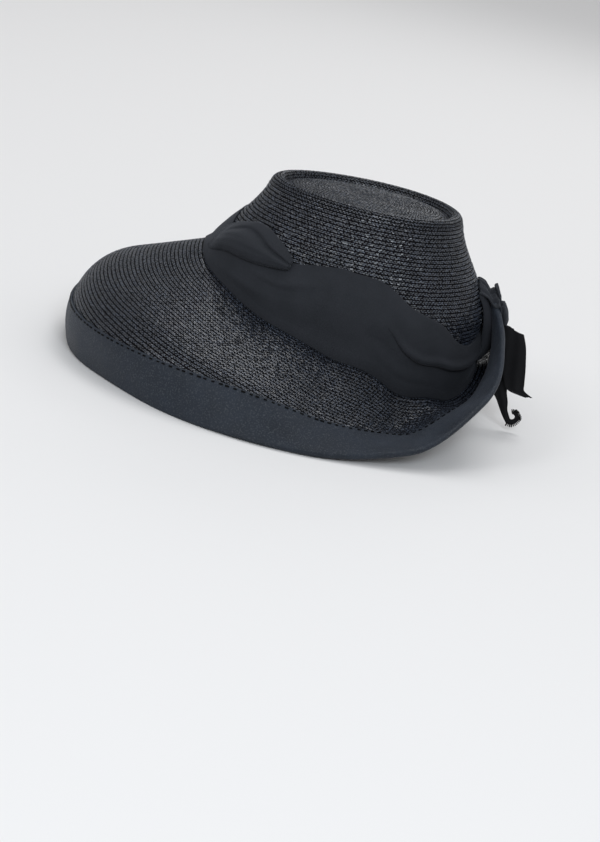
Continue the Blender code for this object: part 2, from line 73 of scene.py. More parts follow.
sight = Vector((-cos(CAMERA_RISE), 0.0, -sin(CAMERA_RISE)))
level = Vector((0.0, 1.0, 0.0))
upright = Vector((-sin(CAMERA_RISE), 0.0, cos(CAMERA_RISE)))
picture_right = cos(CAMERA_TIP) * level + sin(CAMERA_TIP) * upright
picture_up = -sin(CAMERA_TIP) * level + cos(CAMERA_TIP) * upright
aim = Vector((0.0, HAT_BACKSET, AIM_HEIGHT))
eye = aim - CAMERA_DISTANCE * sight
eye -= picture_right * ((AIM_COLUMN - FRAME_WIDTH / 2) / FOCAL_PIXELS * CAMERA_DISTANCE)
eye += picture_up * ((AIM_ROW - FRAME_HEIGHT / 2) / FOCAL_PIXELS * CAMERA_DISTANCE)
lens = bpy.data.cameras.new("camera")
lens.sensor_fit = "VERTICAL"
lens.sensor_height = SENSOR_HEIGHT
lens.lens = FOCAL_PIXELS / FRAME_HEIGHT * SENSOR_HEIGHT
lens.clip_start = 0.05
camera = put_in_scene("camera", lens)
turned = Matrix((picture_right, picture_up, -sight)).transposed().to_4x4()
camera.matrix_world = Matrix.Translation(eye) @ turned
bpy.context.scene.camera = camera
bpy.context.scene.view_settings.view_transform = "Standard"


def soft_light(name, place, size, power, colour):
    lamp = bpy.data.lights.new(name, "AREA")
    lamp.shape = "RECTANGLE"
    lamp.size, lamp.size_y = size
    lamp.energy = power
    lamp.color = colour
    light = put_in_scene(name, lamp)
    light.location = place
    light.rotation_euler = (LIGHT_AIM - Vector(place)).to_track_quat("-Z", "Y").to_euler()


soft_light("light_above", (-0.9, 0.3, 2.7), (1.5, 1.5), 21.0, (0.97, 0.98, 1.0))
soft_light("light_front_left", (1.7, -1.7, 2.0), (0.7, 0.7), 11.0, (0.95, 0.97, 1.0))
soft_light("light_beside", (2.4, 0.45, 1.6), (0.9, 0.8), 27.0, (0.86, 0.93, 1.0))
soft_light("light_behind", (-2.2, 0.7, 1.3), (1.5, 0.5), 5.0, (0.98, 0.99, 1.0))

world = bpy.data.worlds.new("studio")
world.use_nodes = True
background = world.node_tree.nodes["Background"]
background.inputs["Color"].default_value = (0.97, 0.98, 1.0, 1.0)
background.inputs["Strength"].default_value = 0.56
bpy.context.scene.world = world

floor_mesh = bpy.data.meshes.new("floor")
floor_corners = [(x * FLOOR_REACH, y * FLOOR_REACH, 0.0) for x, y in ((-1, -1), (1, -1), (1, 1), (-1, 1))]
floor_mesh.from_pydata(floor_corners, [], [(0, 1, 2, 3)])
floor = put_in_scene("floor", floor_mesh)
floor_paint = bpy.data.materials.new("pale floor paint")
floor_paint.use_nodes = True
paint = floor_paint.node_tree.nodes["Principled BSDF"]
paint.inputs["Base Color"].default_value = (0.82, 0.81, 0.80, 1.0)
paint.inputs["Roughness"].default_value = 0.75
floor_mesh.materials.append(floor_paint)


# Crown
# One long plaited straw braid, dyed black, wound from the middle of the oval tip outwards, over a rolled
# edge and down the bell-shaped side wall, each round lapped on the last and sewn to it.
# The side wall is open at its foot, and its lower part is covered by the scarf.

# Sizes in metres, the same as the solids have, and shares of them
CROWN_HEIGHT = 0.1535
TOP_LENGTH = 0.145
TOP_WIDTH = 0.1185
TOP_BACKSET = 0.003
FLARE_LENGTHWAYS = 0.0347
FLARE_SIDEWAYS = 0.0235
FLARE_FOOT = 0.0805
FLARE_RISE = 0.073
EGG = 0.10
EGG_LEFT_AT_FOOT = 0.4
STRAW_WALL = 0.0022
ROLL_WIDTH = 0.0115
GROOVE_DEPTH = 0.0060
TIP_DEPTH = 0.37
GAP = 0.0003
RIBBON_WALL = 0.0010
BRIM_ARC = 0.148
BACK_RIM_LIFT = 0.102
BAND_HEIGHT = 0.062

BRAID_ROW = 0.0030                   # what shows of each round of braid on the wall and the brim
TIP_ROW = 0.00235                    # the same on the tip, where the rounds lie closer
LAP_DEPTH = 0.0008
STRAW_STEP = 0.00130                 # from one straw of the plait to the next, along the braid
STRAW_SCATTER = 0.3                  # how far a straw lies off its even place, in steps
STRAW_LEAN = radians(12.0)           # how far the straws lean from the run of the braid
STRAW_ASIDE = 0.19                   # how far they lie from the middle of their row, in rows
ROW_SHIFT = 0.37                     # how far each row's straws are shifted on the last row's, in steps

# Rolled edge and tip, from the wall inwards: inset / ROLL_WIDTH, depth / GROOVE_DEPTH
ROLL_PROFILE = (
    (0.00, 1.10), (0.07, 0.50), (0.26, 0.12), (0.48, 0.00), (0.70, 0.20),
    (0.88, 0.72), (1.00, 1.00), (1.20, 0.80), (1.55, 0.50), (3.20, TIP_DEPTH), (6.00, TIP_DEPTH),
)
# Brim sections: bearing, arc / BRIM_ARC, start slope, end slope, bend place, bend spread,
# rim lift / BACK_RIM_LIFT
BRIM_SECTIONS = (
    (0, 1.000, 22, 107, 0.710, 0.70, 0.00),
    (30, 0.925, 20, 110, 0.725, 0.57, 0.00),
    (60, 0.805, 19, 80, 0.725, 0.42, 0.00),
    (90, 0.665, 28, 30, 0.660, 0.36, 0.00),
    (115, 0.575, 44, -2, 0.430, 0.38, 0.10),
    (135, 0.475, 32, -32, 0.275, 0.44, 0.45),
    (155, 0.435, 9, -78, 0.230, 0.39, 0.77),
    (180, 0.460, 0, -110, 0.215, 0.50, 1.00),
)
# Upper edge of the scarf's band: bearing, height / BAND_HEIGHT
BAND_EDGE = (
    (0, 0.42), (12, 0.36), (24, 0.44), (46, 0.68), (64, 0.70), (78, 0.84), (92, 0.98), (108, 1.00),
    (121, 0.97), (132, 0.88), (146, 0.70), (158, 0.58), (180, 0.50), (204, 0.58), (228, 0.82),
    (252, 0.93), (282, 0.86), (312, 0.72), (338, 0.56), (360, 0.42),
)


def smooth_step(share):
    share = np.clip(share, 0.0, 1.0)
    return share * share * (3.0 - 2.0 * share)


def summed(steps):
    """Running sums along the last axis, from nought."""
    return np.concatenate([np.zeros(steps.shape[:-1] + (1,)), np.cumsum(steps, axis=-1)], axis=-1)


def unit(vectors):
    return vectors / np.maximum(np.linalg.norm(vectors, axis=-1, keepdims=True), 1e-12)


def eased(rows, column, at, mirrored=False):
    """A table's column at many places: a cubic through its rows that never overshoots them."""
    places = [float(row[0]) for row in rows]
    values = [float(row[column]) for row in rows]
    at = np.asarray(at, float)
    if mirrored:
        at = np.minimum(at % 360.0, 360.0 - at % 360.0)
        places = [-places[1]] + places + [360.0 - places[-2]]
        values = [values[1]] + values + [values[-2]]
    places, values = np.array(places), np.array(values)
    steps = np.diff(places)
    slopes = np.diff(values) / steps
    product = slopes[:-1] * slopes[1:]
    total = np.where(product > 0.0, slopes[:-1] + slopes[1:], 1.0)
    inner = np.where(product > 0.0, 2.0 * product / total, 0.0)
    tangents = np.concatenate([[slopes[0]], inner, [slopes[-1]]])
    span = np.clip(np.searchsorted(places, at) - 1, 0, len(steps) - 1)
    step = steps[span]
    t = np.clip((at - places[span]) / step, 0.0, 1.0)
    return ((1 + 2 * t) * (1 - t) ** 2 * values[span] + t * (1 - t) ** 2 * step * tangents[span]
            + t * t * (3 - 2 * t) * values[span + 1] - t * t * (1 - t) * step * tangents[span + 1])


def crown_outline(bearings, height, inset=0.0):
    """Points of the crown's outside, each at a bearing and a height."""
    spread = smooth_step((FLARE_FOOT + FLARE_RISE - height) / FLARE_RISE)
    half_length = TOP_LENGTH / 2 + FLARE_LENGTHWAYS * spread - inset
    half_width = TOP_WIDTH / 2 + FLARE_SIDEWAYS * spread - inset
    egg = EGG * (1.0 - (1.0 - EGG_LEFT_AT_FOOT) * spread)
    turn = np.radians(bearings)
    x = half_width * np.sin(turn) * (1.0 - egg * np.cos(turn))
    y = HAT_BACKSET + TOP_BACKSET * (1.0 - spread) - half_length * np.cos(turn)
    return np.stack(np.broadcast_arrays(x, y, height), axis=-1)


def brim_cut(bearings):
    """The brim cut square to the crown's foot at each bearing: slopes, reaches and drops along its arc."""
    bearings = np.asarray(bearings, float)
    steps = 160
    share, start, end, place, spread, lift = (
        eased(BRIM_SECTIONS, column, bearings, mirrored=True) for column in range(1, 7))
    cut = SimpleNamespace(bearings=bearings, arc=BRIM_ARC * share, steps=steps)
    along = np.linspace(0.0, 1.0, steps + 1)
    turned = smooth_step((along[None, :] - place[:, None]) / spread[:, None] + 0.5)
    cut.slopes = np.radians(start[:, None] + (end - start)[:, None] * turned)
    middle = (cut.slopes[:, 1:] + cut.slopes[:, :-1]) / 2
    step = cut.arc[:, None] / steps
    cut.reaches = summed(np.cos(middle) * step)
    cut.drops = summed(np.sin(middle) * step)
    ahead = crown_outline(bearings + 0.05, FLARE_FOOT)
    behind = crown_outline(bearings - 0.05, FLARE_FOOT)
    along = (ahead - behind)[:, :2]
    cut.outward = unit(np.stack([along[:, 1], -along[:, 0], np.zeros(len(along))], axis=-1))
    last = cut.slopes[:, -1]
    sole = (GAP + RIBBON_WALL) * np.sin(last) + np.maximum(
        (STRAW_WALL + GAP + RIBBON_WALL) * np.cos(last), -(GAP + RIBBON_WALL) * np.cos(last))
    cut.foot_height = BACK_RIM_LIFT * lift + cut.drops[:, -1] + sole
    cut.foot = crown_outline(bearings, cut.foot_height)
    cut.wall_top = CROWN_HEIGHT - ROLL_PROFILE[0][1] * GROOVE_DEPTH
    cut.band = BAND_HEIGHT * eased(BAND_EDGE, 1, bearings % 360.0)
    return cut


def over_brim(cut, lengths, lift=0.0):
    """Points at lengths along the brim's upper side, one row per bearing, lifted square to it."""
    lengths = np.asarray(lengths, float)
    inside = np.clip(lengths, 0.0, cut.arc[:, None])
    spot = inside / cut.arc[:, None] * cut.steps
    before = np.minimum(spot.astype(int), cut.steps - 1)
    share = spot - before

    def between(values):
        low = np.take_along_axis(values, before, axis=1)
        high = np.take_along_axis(values, before + 1, axis=1)
        return low * (1 - share) + high * share

    slope, past = between(cut.slopes), lengths - inside
    reach = between(cut.reaches) + past * np.cos(slope) + lift * np.sin(slope)
    drop = between(cut.drops) + past * np.sin(slope) - lift * np.cos(slope)
    point = cut.foot[:, None, :] + cut.outward[:, None, :] * reach[..., None]
    point[..., 2] -= drop
    return point


def on_wall(cut, heights, offset=0.0):
    """Points on the crown's wall at heights above its foot, one row per bearing, moved straight out."""
    level_at = cut.foot_height[:, None] + heights
    point = crown_outline(cut.bearings[:, None], level_at)
    return point + cut.outward[:, None, :] * np.asarray(offset)[..., None]


def write_vectors(mesh, name, values):
    attribute = mesh.attributes.new(name, "FLOAT_VECTOR", "POINT")
    attribute.data.foreach_set("vector", np.asarray(values, np.float32).ravel())


def lay_mesh(name, rings, places, joined=False, start=None, end=None, marks=None):
    """A closed skin through rings of points. Each ring closes on itself. The last ring joins the first, or
    both ends close on a point. Places are the pattern's coordinates, with one more column than the ring."""
    rings = np.asarray(rings, float)
    places = np.asarray(places, float)
    count, size = rings.shape[:2]
    points = [rings.reshape(-1, 3)]
    rows = np.arange(count if joined else count - 1)
    columns = np.arange(size)
    row, column = np.meshgrid(rows, columns, indexing="ij")
    row, column = row.ravel(), column.ravel()
    after, beside = (row + 1) % count, (column + 1) % size
    faces = [np.stack([row * size + column, row * size + beside,
                       after * size + beside, after * size + column], axis=-1)]
    spots = [np.stack([places[row, column], places[row, column + 1],
                       places[after, column + 1], places[after, column]], axis=1)]
    for tip, ring, forwards in ((start, 0, False), (end, count - 1, True)):
        if tip is None:
            continue
        apex = count * size + len(points) - 1
        points.append(np.asarray(tip, float).reshape(1, 3))
        here = ring * size + columns
        there = ring * size + (columns + 1) % size
        apexes = np.full(size, apex)
        faces.append(np.stack([here, there, apexes] if forwards else [there, here, apexes], axis=-1))
        middle = (places[ring, :-1] + places[ring, 1:]) / 2
        pair = [places[ring, :-1], places[ring, 1:]] if forwards else [places[ring, 1:], places[ring, :-1]]
        spots.append(np.stack(pair + [middle], axis=1))
    points = np.concatenate(points)
    corners = np.concatenate([face.ravel() for face in faces])
    spots = np.concatenate([spot.reshape(-1, 2) for spot in spots])
    sizes = np.concatenate([np.full(len(face), face.shape[1]) for face in faces])
    starts = np.concatenate([[0], np.cumsum(sizes)[:-1]])
    volume = sum((points[face[:, 0]] * np.cross(points[face[:, k - 1]], points[face[:, k]])).sum()
                 for face in faces for k in range(2, face.shape[1]))
    if volume < 0.0:                 # the faces look inwards, so each is turned round
        order = np.concatenate([np.arange(first, first + size)[::-1] for first, size in zip(starts, sizes)])
        corners, spots = corners[order], spots[order]
    mesh = bpy.data.meshes.new(name)
    mesh.vertices.add(len(points))
    mesh.vertices.foreach_set("co", points.ravel())
    mesh.loops.add(len(corners))
    mesh.loops.foreach_set("vertex_index", corners.astype(np.int32))
    mesh.polygons.add(len(sizes))
    mesh.polygons.foreach_set("loop_start", starts.astype(np.int32))
    mesh.update(calc_edges=True)
    mesh.validate()
    mesh.uv_layers.new(name="UVMap").data.foreach_set("uv", spots.astype(np.float32).ravel())
    if marks is not None:
        padded_marks = np.zeros((len(points), 3))
        padded_marks[:count * size] = np.reshape(marks, (-1, 3))
        write_vectors(mesh, "braid", padded_marks)
    mesh.shade_smooth()
    return put_in_scene(name, mesh)


def new_tree(name, inputs):
    """A Geometry Nodes tree that holds only its named inputs, and the node they come from."""
    tree = bpy.data.node_groups.new(name, "GeometryNodeTree")
    tree.interface.new_socket("Geometry", in_out="INPUT", socket_type="NodeSocketGeometry")
    for label, kind, value in inputs:
        socket = tree.interface.new_socket(label, in_out="INPUT", socket_type="NodeSocket" + kind)
        if value is not None:
            socket.default_value = value
    tree.interface.new_socket("Geometry", in_out="OUTPUT", socket_type="NodeSocketGeometry")
    return tree, tree.nodes.new("NodeGroupInput")


def fill(tree, node, sockets):
    """Fills a node's sockets: each by a value, or by a link from another node."""
    for key, value in sockets.items():
        if isinstance(value, bpy.types.NodeSocket):
            tree.links.new(value, node.inputs[key])
        else:
            node.inputs[key].default_value = value


def add_node(tree, kind, sockets=None, **settings):
    """A node with its settings made and its sockets filled."""
    node = tree.nodes.new(kind)
    for setting, value in settings.items():
        setattr(node, setting, value)
    fill(tree, node, sockets or {})
    return node


def sum_of(tree, operation, first, second=0.0, third=0.0):
    """The result of a Math node. Only MULTIPLY_ADD takes a third value."""
    sockets = {0: first, 1: second}
    if operation == "MULTIPLY_ADD":
        sockets[2] = third
    return add_node(tree, "ShaderNodeMath", sockets, operation=operation).outputs[0]


def scaled(tree, vector, factor):
    return add_node(tree, "ShaderNodeVectorMath", {0: vector, 3: factor}, operation="SCALE").outputs[0]


def named_vector(tree, name):
    attribute = add_node(tree, "GeometryNodeInputNamedAttribute", {"Name": name}, data_type="FLOAT_VECTOR")
    return attribute.outputs["Attribute"]


def end_tree(tree, group, geometry):
    """Ends a tree in Realize Instances and Set Material."""
    whole = add_node(tree, "GeometryNodeRealizeInstances", {0: geometry}).outputs[0]
    dyed = add_node(tree, "GeometryNodeSetMaterial",
                    {"Geometry": whole, "Material": group.outputs["Material"]}).outputs[0]
    add_node(tree, "NodeGroupOutput", {0: dyed})


def grow(piece, tree, values):
    """Runs a Geometry Nodes tree on a piece and keeps the result as a plain mesh."""
    modifier = piece.modifiers.new(tree.name, "NODES")
    modifier.node_group = tree
    for item in tree.interface.items_tree:
        if item.in_out == "INPUT" and item.name in values:
            modifier[item.identifier] = values[item.name]
    bpy.context.view_layer.update()
    graph = bpy.context.evaluated_depsgraph_get()
    result = bpy.data.meshes.new_from_object(piece.evaluated_get(graph), depsgraph=graph)
    piece.modifiers.remove(modifier)
    result.name = piece.name
    piece.data = result


def finish_shader(name, colour, roughness, specular, sheen, coat=0.0):
    """A material with its steady values set, ready for the nodes of one finish."""
    material = bpy.data.materials.new(name)
    material.use_nodes = True
    shader = material.node_tree.nodes["Principled BSDF"]
    fill(material.node_tree, shader, {
        "Base Color": (*colour, 1.0), "Roughness": roughness, "Specular IOR Level": specular,
        "Sheen Weight": sheen, "Sheen Roughness": 0.45, "Sheen Tint": (0.80, 0.86, 1.0, 1.0),
        "Coat Weight": coat, "Coat Roughness": 0.20 if coat else 0.3})
    return material, material.node_tree, shader


def noise_at(tree, coordinates, scale, detail=2.0):
    sockets = {"Vector": coordinates, "Scale": scale, "Detail": detail}
    return add_node(tree, "ShaderNodeTexNoise", sockets).outputs["Fac"]


def ramp(tree, value, low, high, dark, light):
    """Spreads a value between two limits over a range of its own."""
    sockets = {"Value": value, "From Min": low, "From Max": high, "To Min": dark, "To Max": light}
    return add_node(tree, "ShaderNodeMapRange", sockets).outputs["Result"]


def two_tone(tree, value, dark, light):
    sockets = {"Factor": value, "A": (*dark, 1.0), "B": (*light, 1.0)}
    return add_node(tree, "ShaderNodeMix", sockets, data_type="RGBA").outputs[2]


def grain_normal(tree, height, strength, distance):
    sockets = {"Height": height, "Strength": strength, "Distance": distance}
    return add_node(tree, "ShaderNodeBump", sockets).outputs["Normal"]


def straw_finish(name, dark, light, gloss, shine, fibre_depth):
    """Dyed straw: fine split fibres, uneven dye and a soft natural gloss."""
    material, tree, shader = finish_shader(name, dark, gloss, shine, 0.0, coat=shine / 4)
    place = add_node(tree, "ShaderNodeTexCoord").outputs["Object"]
    dye = noise_at(tree, place, 900.0, 3.0)
    patches = noise_at(tree, place, 70.0)
    shade = sum_of(tree, "MULTIPLY", ramp(tree, dye, 0.46, 0.60, 0.0, 1.0),
                   ramp(tree, patches, 0.3, 0.7, 0.5, 1.0))
    fill(tree, shader, {
        "Base Color": two_tone(tree, shade, dark, light),
        "Roughness": ramp(tree, dye, 0.3, 0.7, gloss - 0.10, gloss + 0.16),
        "Normal": grain_normal(tree, noise_at(tree, place, 2600.0), 0.6, fibre_depth)})
    return material


# The ground under the straws shows only in the gaps between them. It is coloured darker than the straws:
# black dyed straw, darkened further as painted shade in those gaps.
braid_ground_painted_shade = straw_finish("black braid ground, painted shade", (0.001, 0.001, 0.002), (0.003, 0.003, 0.004),
                            gloss=0.60, shine=0.08, fibre_depth=0.0002)
braid_straw = straw_finish("black glossy straw", (0.010, 0.012, 0.017), (0.052, 0.067, 0.098),
                           gloss=0.38, shine=0.80, fibre_depth=0.0001)

ROUND = 440
around = np.arange(ROUND) * 360.0 / ROUND
crown_cut = brim_cut(around)
inset_shares = np.linspace(0.0, (TOP_WIDTH / 2 - 0.0008) / ROLL_WIDTH, 700)
roll_depths = eased(ROLL_PROFILE, 1, inset_shares) * GROOVE_DEPTH
roll_insets = inset_shares * ROLL_WIDTH
roll_arcs = summed(np.hypot(np.diff(roll_insets), np.diff(roll_depths)))


def tip_ring(bearings, arc, sunk=0.0):
    """A ring of the rolled edge, groove and tip, at an arc inwards from the top of the wall."""
    inset = np.interp(arc, roll_arcs, roll_insets)
    depth = np.interp(arc, roll_arcs, roll_depths)
    step = 0.0002
    rise, run = (np.interp(arc + step, roll_arcs, values) - np.interp(arc - step, roll_arcs, values)
                 for values in (roll_depths, roll_insets))
    size = max(float(np.hypot(rise, run)), 1e-9)
    return crown_outline(bearings, CROWN_HEIGHT - depth - sunk * run / size + 0.0 * bearings,
                         inset - sunk * rise / size)


def wall_arcs(cut):
    """Arc lengths down the wall from its top, at many heights above the foot."""
    shares = np.linspace(0.0, 1.0, 200)
    heights = (cut.wall_top - cut.foot_height)[:, None] * (1.0 - shares)[None, :]
    return heights, summed(np.linalg.norm(np.diff(on_wall(cut, heights), axis=1), axis=2))


def heights_down(arcs, heights, down):
    """Heights above the foot at arc lengths down the wall, one per bearing."""
    return np.array([np.interp(d, arc, height) for d, arc, height in zip(down, arcs, heights)])


def down_to_band(cut, heights, arcs):
    """Arc lengths down the wall to the upper edge of the scarf's band, one per bearing."""
    return np.array([np.interp(-band, -height, arc) for band, height, arc in zip(cut.band, heights, arcs)])


def ring_length(ring):
    """Lengths round a ring, from its first point back to it."""
    closed = np.concatenate([ring, ring[:1]])
    return summed(np.linalg.norm(np.diff(closed, axis=0), axis=1))


UNDER_BAND = 0.006                   # how far the braid's rows run on under the band
FADE_AT_EDGE = 0.004                 # the braid's ribs fade out over this at the top of the wall
TIP_RINGS = 94
WALL_RINGS = 108
wall_heights, wall_lengths = wall_arcs(crown_cut)
band_down = down_to_band(crown_cut, wall_heights, wall_lengths)
rings, places, marks = [], [], []


def crown_row(ring, rows_down, weight):
    """Adds a ring, with the rows of braid down to it and how strongly the braid shows there."""
    lengths = ring_length(ring)
    rows_down = np.broadcast_to(rows_down, (ROUND,))
    rings.append(ring)
    places.append(np.stack([lengths, np.append(rows_down, rows_down[0]) * BRAID_ROW], axis=-1))
    marks.append(np.stack([lengths[:-1], rows_down, np.broadcast_to(weight, (ROUND,))], axis=-1))


for arc in np.linspace(roll_arcs[-1], 0.0, TIP_RINGS):
    crown_row(tip_ring(around, arc), -arc / TIP_ROW, 0.8 * smooth_step(arc / FADE_AT_EDGE))
for share in np.linspace(0.0, 1.0, WALL_RINGS + 1)[1:]:
    down = share * (band_down + UNDER_BAND)
    crown_row(on_wall(crown_cut, heights_down(wall_lengths, wall_heights, down)[:, None])[:, 0],
              down / BRAID_ROW, smooth_step(down / 0.002))
for share in (0.35, 0.7, 1.0):
    low = band_down + UNDER_BAND
    down = low + share * (wall_lengths[:, -1] - low)
    height = heights_down(wall_lengths, wall_heights, down)
    ring = on_wall(crown_cut, height[:, None])[:, 0]
    ring[:, 2] += GAP * share
    crown_row(ring, down / BRAID_ROW, 0.0)
for share in (1.0, 0.8, 0.6, 0.4, 0.2, 0.05):
    height = (crown_cut.wall_top - crown_cut.foot_height) * (1.0 - share)
    ring = on_wall(crown_cut, height[:, None], -STRAW_WALL)[:, 0]
    crown_row(ring, share * 30.0, 0.0)
for arc in np.linspace(FADE_AT_EDGE, roll_arcs[-1] - FADE_AT_EDGE, 12):
    crown_row(tip_ring(around, arc, sunk=STRAW_WALL), -arc / TIP_ROW, 0.0)
tip_middle = tip_ring(around, roll_arcs[-1]).mean(axis=0)
crown = lay_mesh("crown_straw", rings, places, start=tip_middle,
                 end=tip_middle - np.array([0.0, 0.0, STRAW_WALL]), marks=marks)

# The lapped rounds stand out as rounded ribs with a narrow groove between them
braid_tree, group = new_tree("lapped braid", (
    ("Lap depth", "Float", 0.0005), ("Unevenness", "Float", 0.0001), ("Material", "Material", None)))
parts = add_node(braid_tree, "ShaderNodeSeparateXYZ", {0: named_vector(braid_tree, "braid")})
within = sum_of(braid_tree, "FRACT", parts.outputs["Y"])
from_middle = sum_of(braid_tree, "ABSOLUTE", sum_of(braid_tree, "MULTIPLY_ADD", within, 2.0, -1.0))
groove = sum_of(braid_tree, "POWER", from_middle, 4.0)
uneven = add_node(braid_tree, "ShaderNodeTexNoise", {"Scale": 55.0, "Detail": 1.0}).outputs["Fac"]
either_way = sum_of(braid_tree, "SUBTRACT", uneven, 0.5)
sway = sum_of(braid_tree, "MULTIPLY", either_way, group.outputs["Unevenness"])
sink = sum_of(braid_tree, "MULTIPLY", groove, group.outputs["Lap depth"])
lift = sum_of(braid_tree, "MULTIPLY", sum_of(braid_tree, "SUBTRACT", sway, sink), parts.outputs["Z"])
offset = scaled(braid_tree, add_node(braid_tree, "GeometryNodeInputNormal").outputs[0], lift)
moved = add_node(braid_tree, "GeometryNodeSetPosition",
                 {"Geometry": group.outputs["Geometry"], "Offset": offset}).outputs[0]
end_tree(braid_tree, group, moved)

grow(crown, braid_tree, {"Lap depth": LAP_DEPTH, "Unevenness": 0.0004, "Material": braid_ground_painted_shade})
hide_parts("crown")
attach(crown, "root")


def round_ring(ring):
    """Which way each point of a ring runs on to the next."""
    return unit(np.roll(ring, -1, axis=0) - np.roll(ring, 1, axis=0))


def plait_places(surface, rows, pitch, hidden):
    """Where the straws of the plait lie: places, headings and facings, for each row of braid.
    The surface gives the ring at an arc; hidden says which points of that ring are out of sight."""
    found = []
    for row in rows:
        arc = (row + 0.5) * pitch
        ring = surface(arc)
        across = unit(surface(arc + pitch * 0.2) - surface(arc - pitch * 0.2))
        along = round_ring(ring)
        facing = np.cross(along, across)
        lengths = ring_length(ring)
        count = max(6, int(round(lengths[-1] / STRAW_STEP / 2)) * 2)
        scatter = np.random.default_rng(int(500 + row))
        step = np.arange(count) + scatter.uniform(-STRAW_SCATTER, STRAW_SCATTER, count) + row * ROW_SHIFT
        spot = np.interp(step % count * lengths[-1] / count, lengths, np.arange(FINE + 1))
        near = spot.astype(int) % FINE
        share = (spot - spot.astype(int))[:, None]
        side = np.where(np.arange(count) % 2 == 0, 1.0, -1.0)[:, None]
        side = side * scatter.uniform(0.7, 1.2, (count, 1))
        point = ring[near] * (1 - share) + ring[(near + 1) % FINE] * share
        point += across[near] * side * pitch * STRAW_ASIDE
        heading = along[near] * cos(STRAW_LEAN) + across[near] * side * sin(STRAW_LEAN)
        shown = ~hidden(arc)[near]
        found.append((point[shown], heading[shown], facing[near][shown]))
    return [np.concatenate([part[k] for part in found]) for k in range(3)]


def straws(name, laid_at, material, size, looseness, seed):
    """Places one straw of the plait, or one thread, at each point."""
    points, headings, facings = laid_at
    length, width, height = size
    mesh = bpy.data.meshes.new(name)
    mesh.vertices.add(len(points))
    mesh.vertices.foreach_set("co", points.ravel())
    write_vectors(mesh, "heading", headings)
    write_vectors(mesh, "facing", facings)
    piece = put_in_scene(name, mesh)
    grow(piece, straw_tree, {"Straw length": length, "Straw width": width, "Straw height": height,
                             "Looseness": looseness, "Seed": seed, "Material": material})
    piece.data.shade_flat()
    return piece


# One straw shows as a short flat split, laid along its heading with its flat side out
straw_tree, group = new_tree("plait straws", (
    ("Straw length", "Float", 0.002), ("Straw width", "Float", 0.001), ("Straw height", "Float", 0.0005),
    ("Looseness", "Float", 0.3), ("Seed", "Int", 1), ("Material", "Material", None)))
laid = add_node(straw_tree, "FunctionNodeAlignRotationToVector",
                {"Vector": named_vector(straw_tree, "heading")}, axis="Z")
turned_up = add_node(straw_tree, "FunctionNodeAlignRotationToVector",
                     {"Rotation": laid.outputs[0], "Vector": named_vector(straw_tree, "facing")},
                     axis="X", pivot_axis="Z")
chance = add_node(straw_tree, "FunctionNodeRandomValue",
                  {"Min": (-0.5, -0.7, -1.0), "Max": (0.5, 0.7, 1.0), "Seed": group.outputs["Seed"]},
                  data_type="FLOAT_VECTOR")
jitter = scaled(straw_tree, chance.outputs[0], group.outputs["Looseness"])
loosened = add_node(straw_tree, "FunctionNodeRotateRotation",
                    {"Rotation": turned_up.outputs[0], "Rotate By": jitter}, rotation_space="LOCAL")
split = add_node(straw_tree, "GeometryNodeMeshCube")
girth = add_node(straw_tree, "ShaderNodeCombineXYZ", {
    axis: group.outputs["Straw " + size] for axis, size in zip("XYZ", ("height", "width", "length"))})
varied = add_node(straw_tree, "FunctionNodeRandomValue", {
    2: 0.82, 3: 1.12, "Seed": group.outputs["Seed"]}, data_type="FLOAT")
set_down = add_node(straw_tree, "GeometryNodeInstanceOnPoints", {
    "Points": group.outputs["Geometry"], "Instance": split.outputs["Mesh"],
    "Rotation": loosened.outputs[0], "Scale": scaled(straw_tree, girth.outputs[0], varied.outputs[1])})
end_tree(straw_tree, group, set_down.outputs[0])

FINE = 720                           # bearings at which the plait's rings are laid out
plait_cut = brim_cut(np.arange(FINE) * 360.0 / FINE)
plait_heights, plait_lengths = wall_arcs(plait_cut)
plait_band_down = down_to_band(plait_cut, plait_heights, plait_lengths)


def wall_surface(arc):
    height = heights_down(plait_lengths, plait_heights, np.full(FINE, arc))
    return on_wall(plait_cut, height[:, None])[:, 0]


def tip_surface(arc):
    return tip_ring(plait_cut.bearings, -arc)


wall_rows = range(0, int((plait_band_down.max() + 0.002) / BRAID_ROW))
wall_plait = plait_places(wall_surface, wall_rows, BRAID_ROW, lambda arc: arc > plait_band_down + 0.0015)
innermost = -(roll_arcs[-1] - 0.0006) / TIP_ROW - 0.5
tip_rows = [innermost, *range(-int(roll_arcs[-1] / TIP_ROW) + 1, 0)]
tip_plait = plait_places(tip_surface, tip_rows, TIP_ROW, lambda arc: np.zeros(FINE, bool))
wall_straws = straws("crown_wall_plait", wall_plait, braid_straw, (0.0020, 0.00082, 0.00038), 0.36, 3)
tip_straws = straws("crown_tip_plait", tip_plait, braid_straw, (0.0016, 0.00060, 0.00032), 0.19, 5)
for piece in (wall_straws, tip_straws):
    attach(piece, "root")


# Brim
# The braid runs on from the foot of the crown, round after round, and was blocked over steam: it slopes
# and then bells down in front, levels out at the sides and turns up behind, where a gap stays between
# it and the crown. The cut rim is covered by the binding.

BINDING_WIDTH = 0.032
UNDER_BINDING = 0.0030               # how far the braid's rows run on under the binding
BRIM_RINGS = 151
brim_arc = crown_cut.arc
rings, places, marks = [], [], []


def brim_row(lengths, lift=0.0, weight=0.0):
    lengths = np.broadcast_to(lengths, (ROUND,))
    crown_row(over_brim(crown_cut, lengths[:, None], lift)[:, 0], lengths / BRAID_ROW, weight)


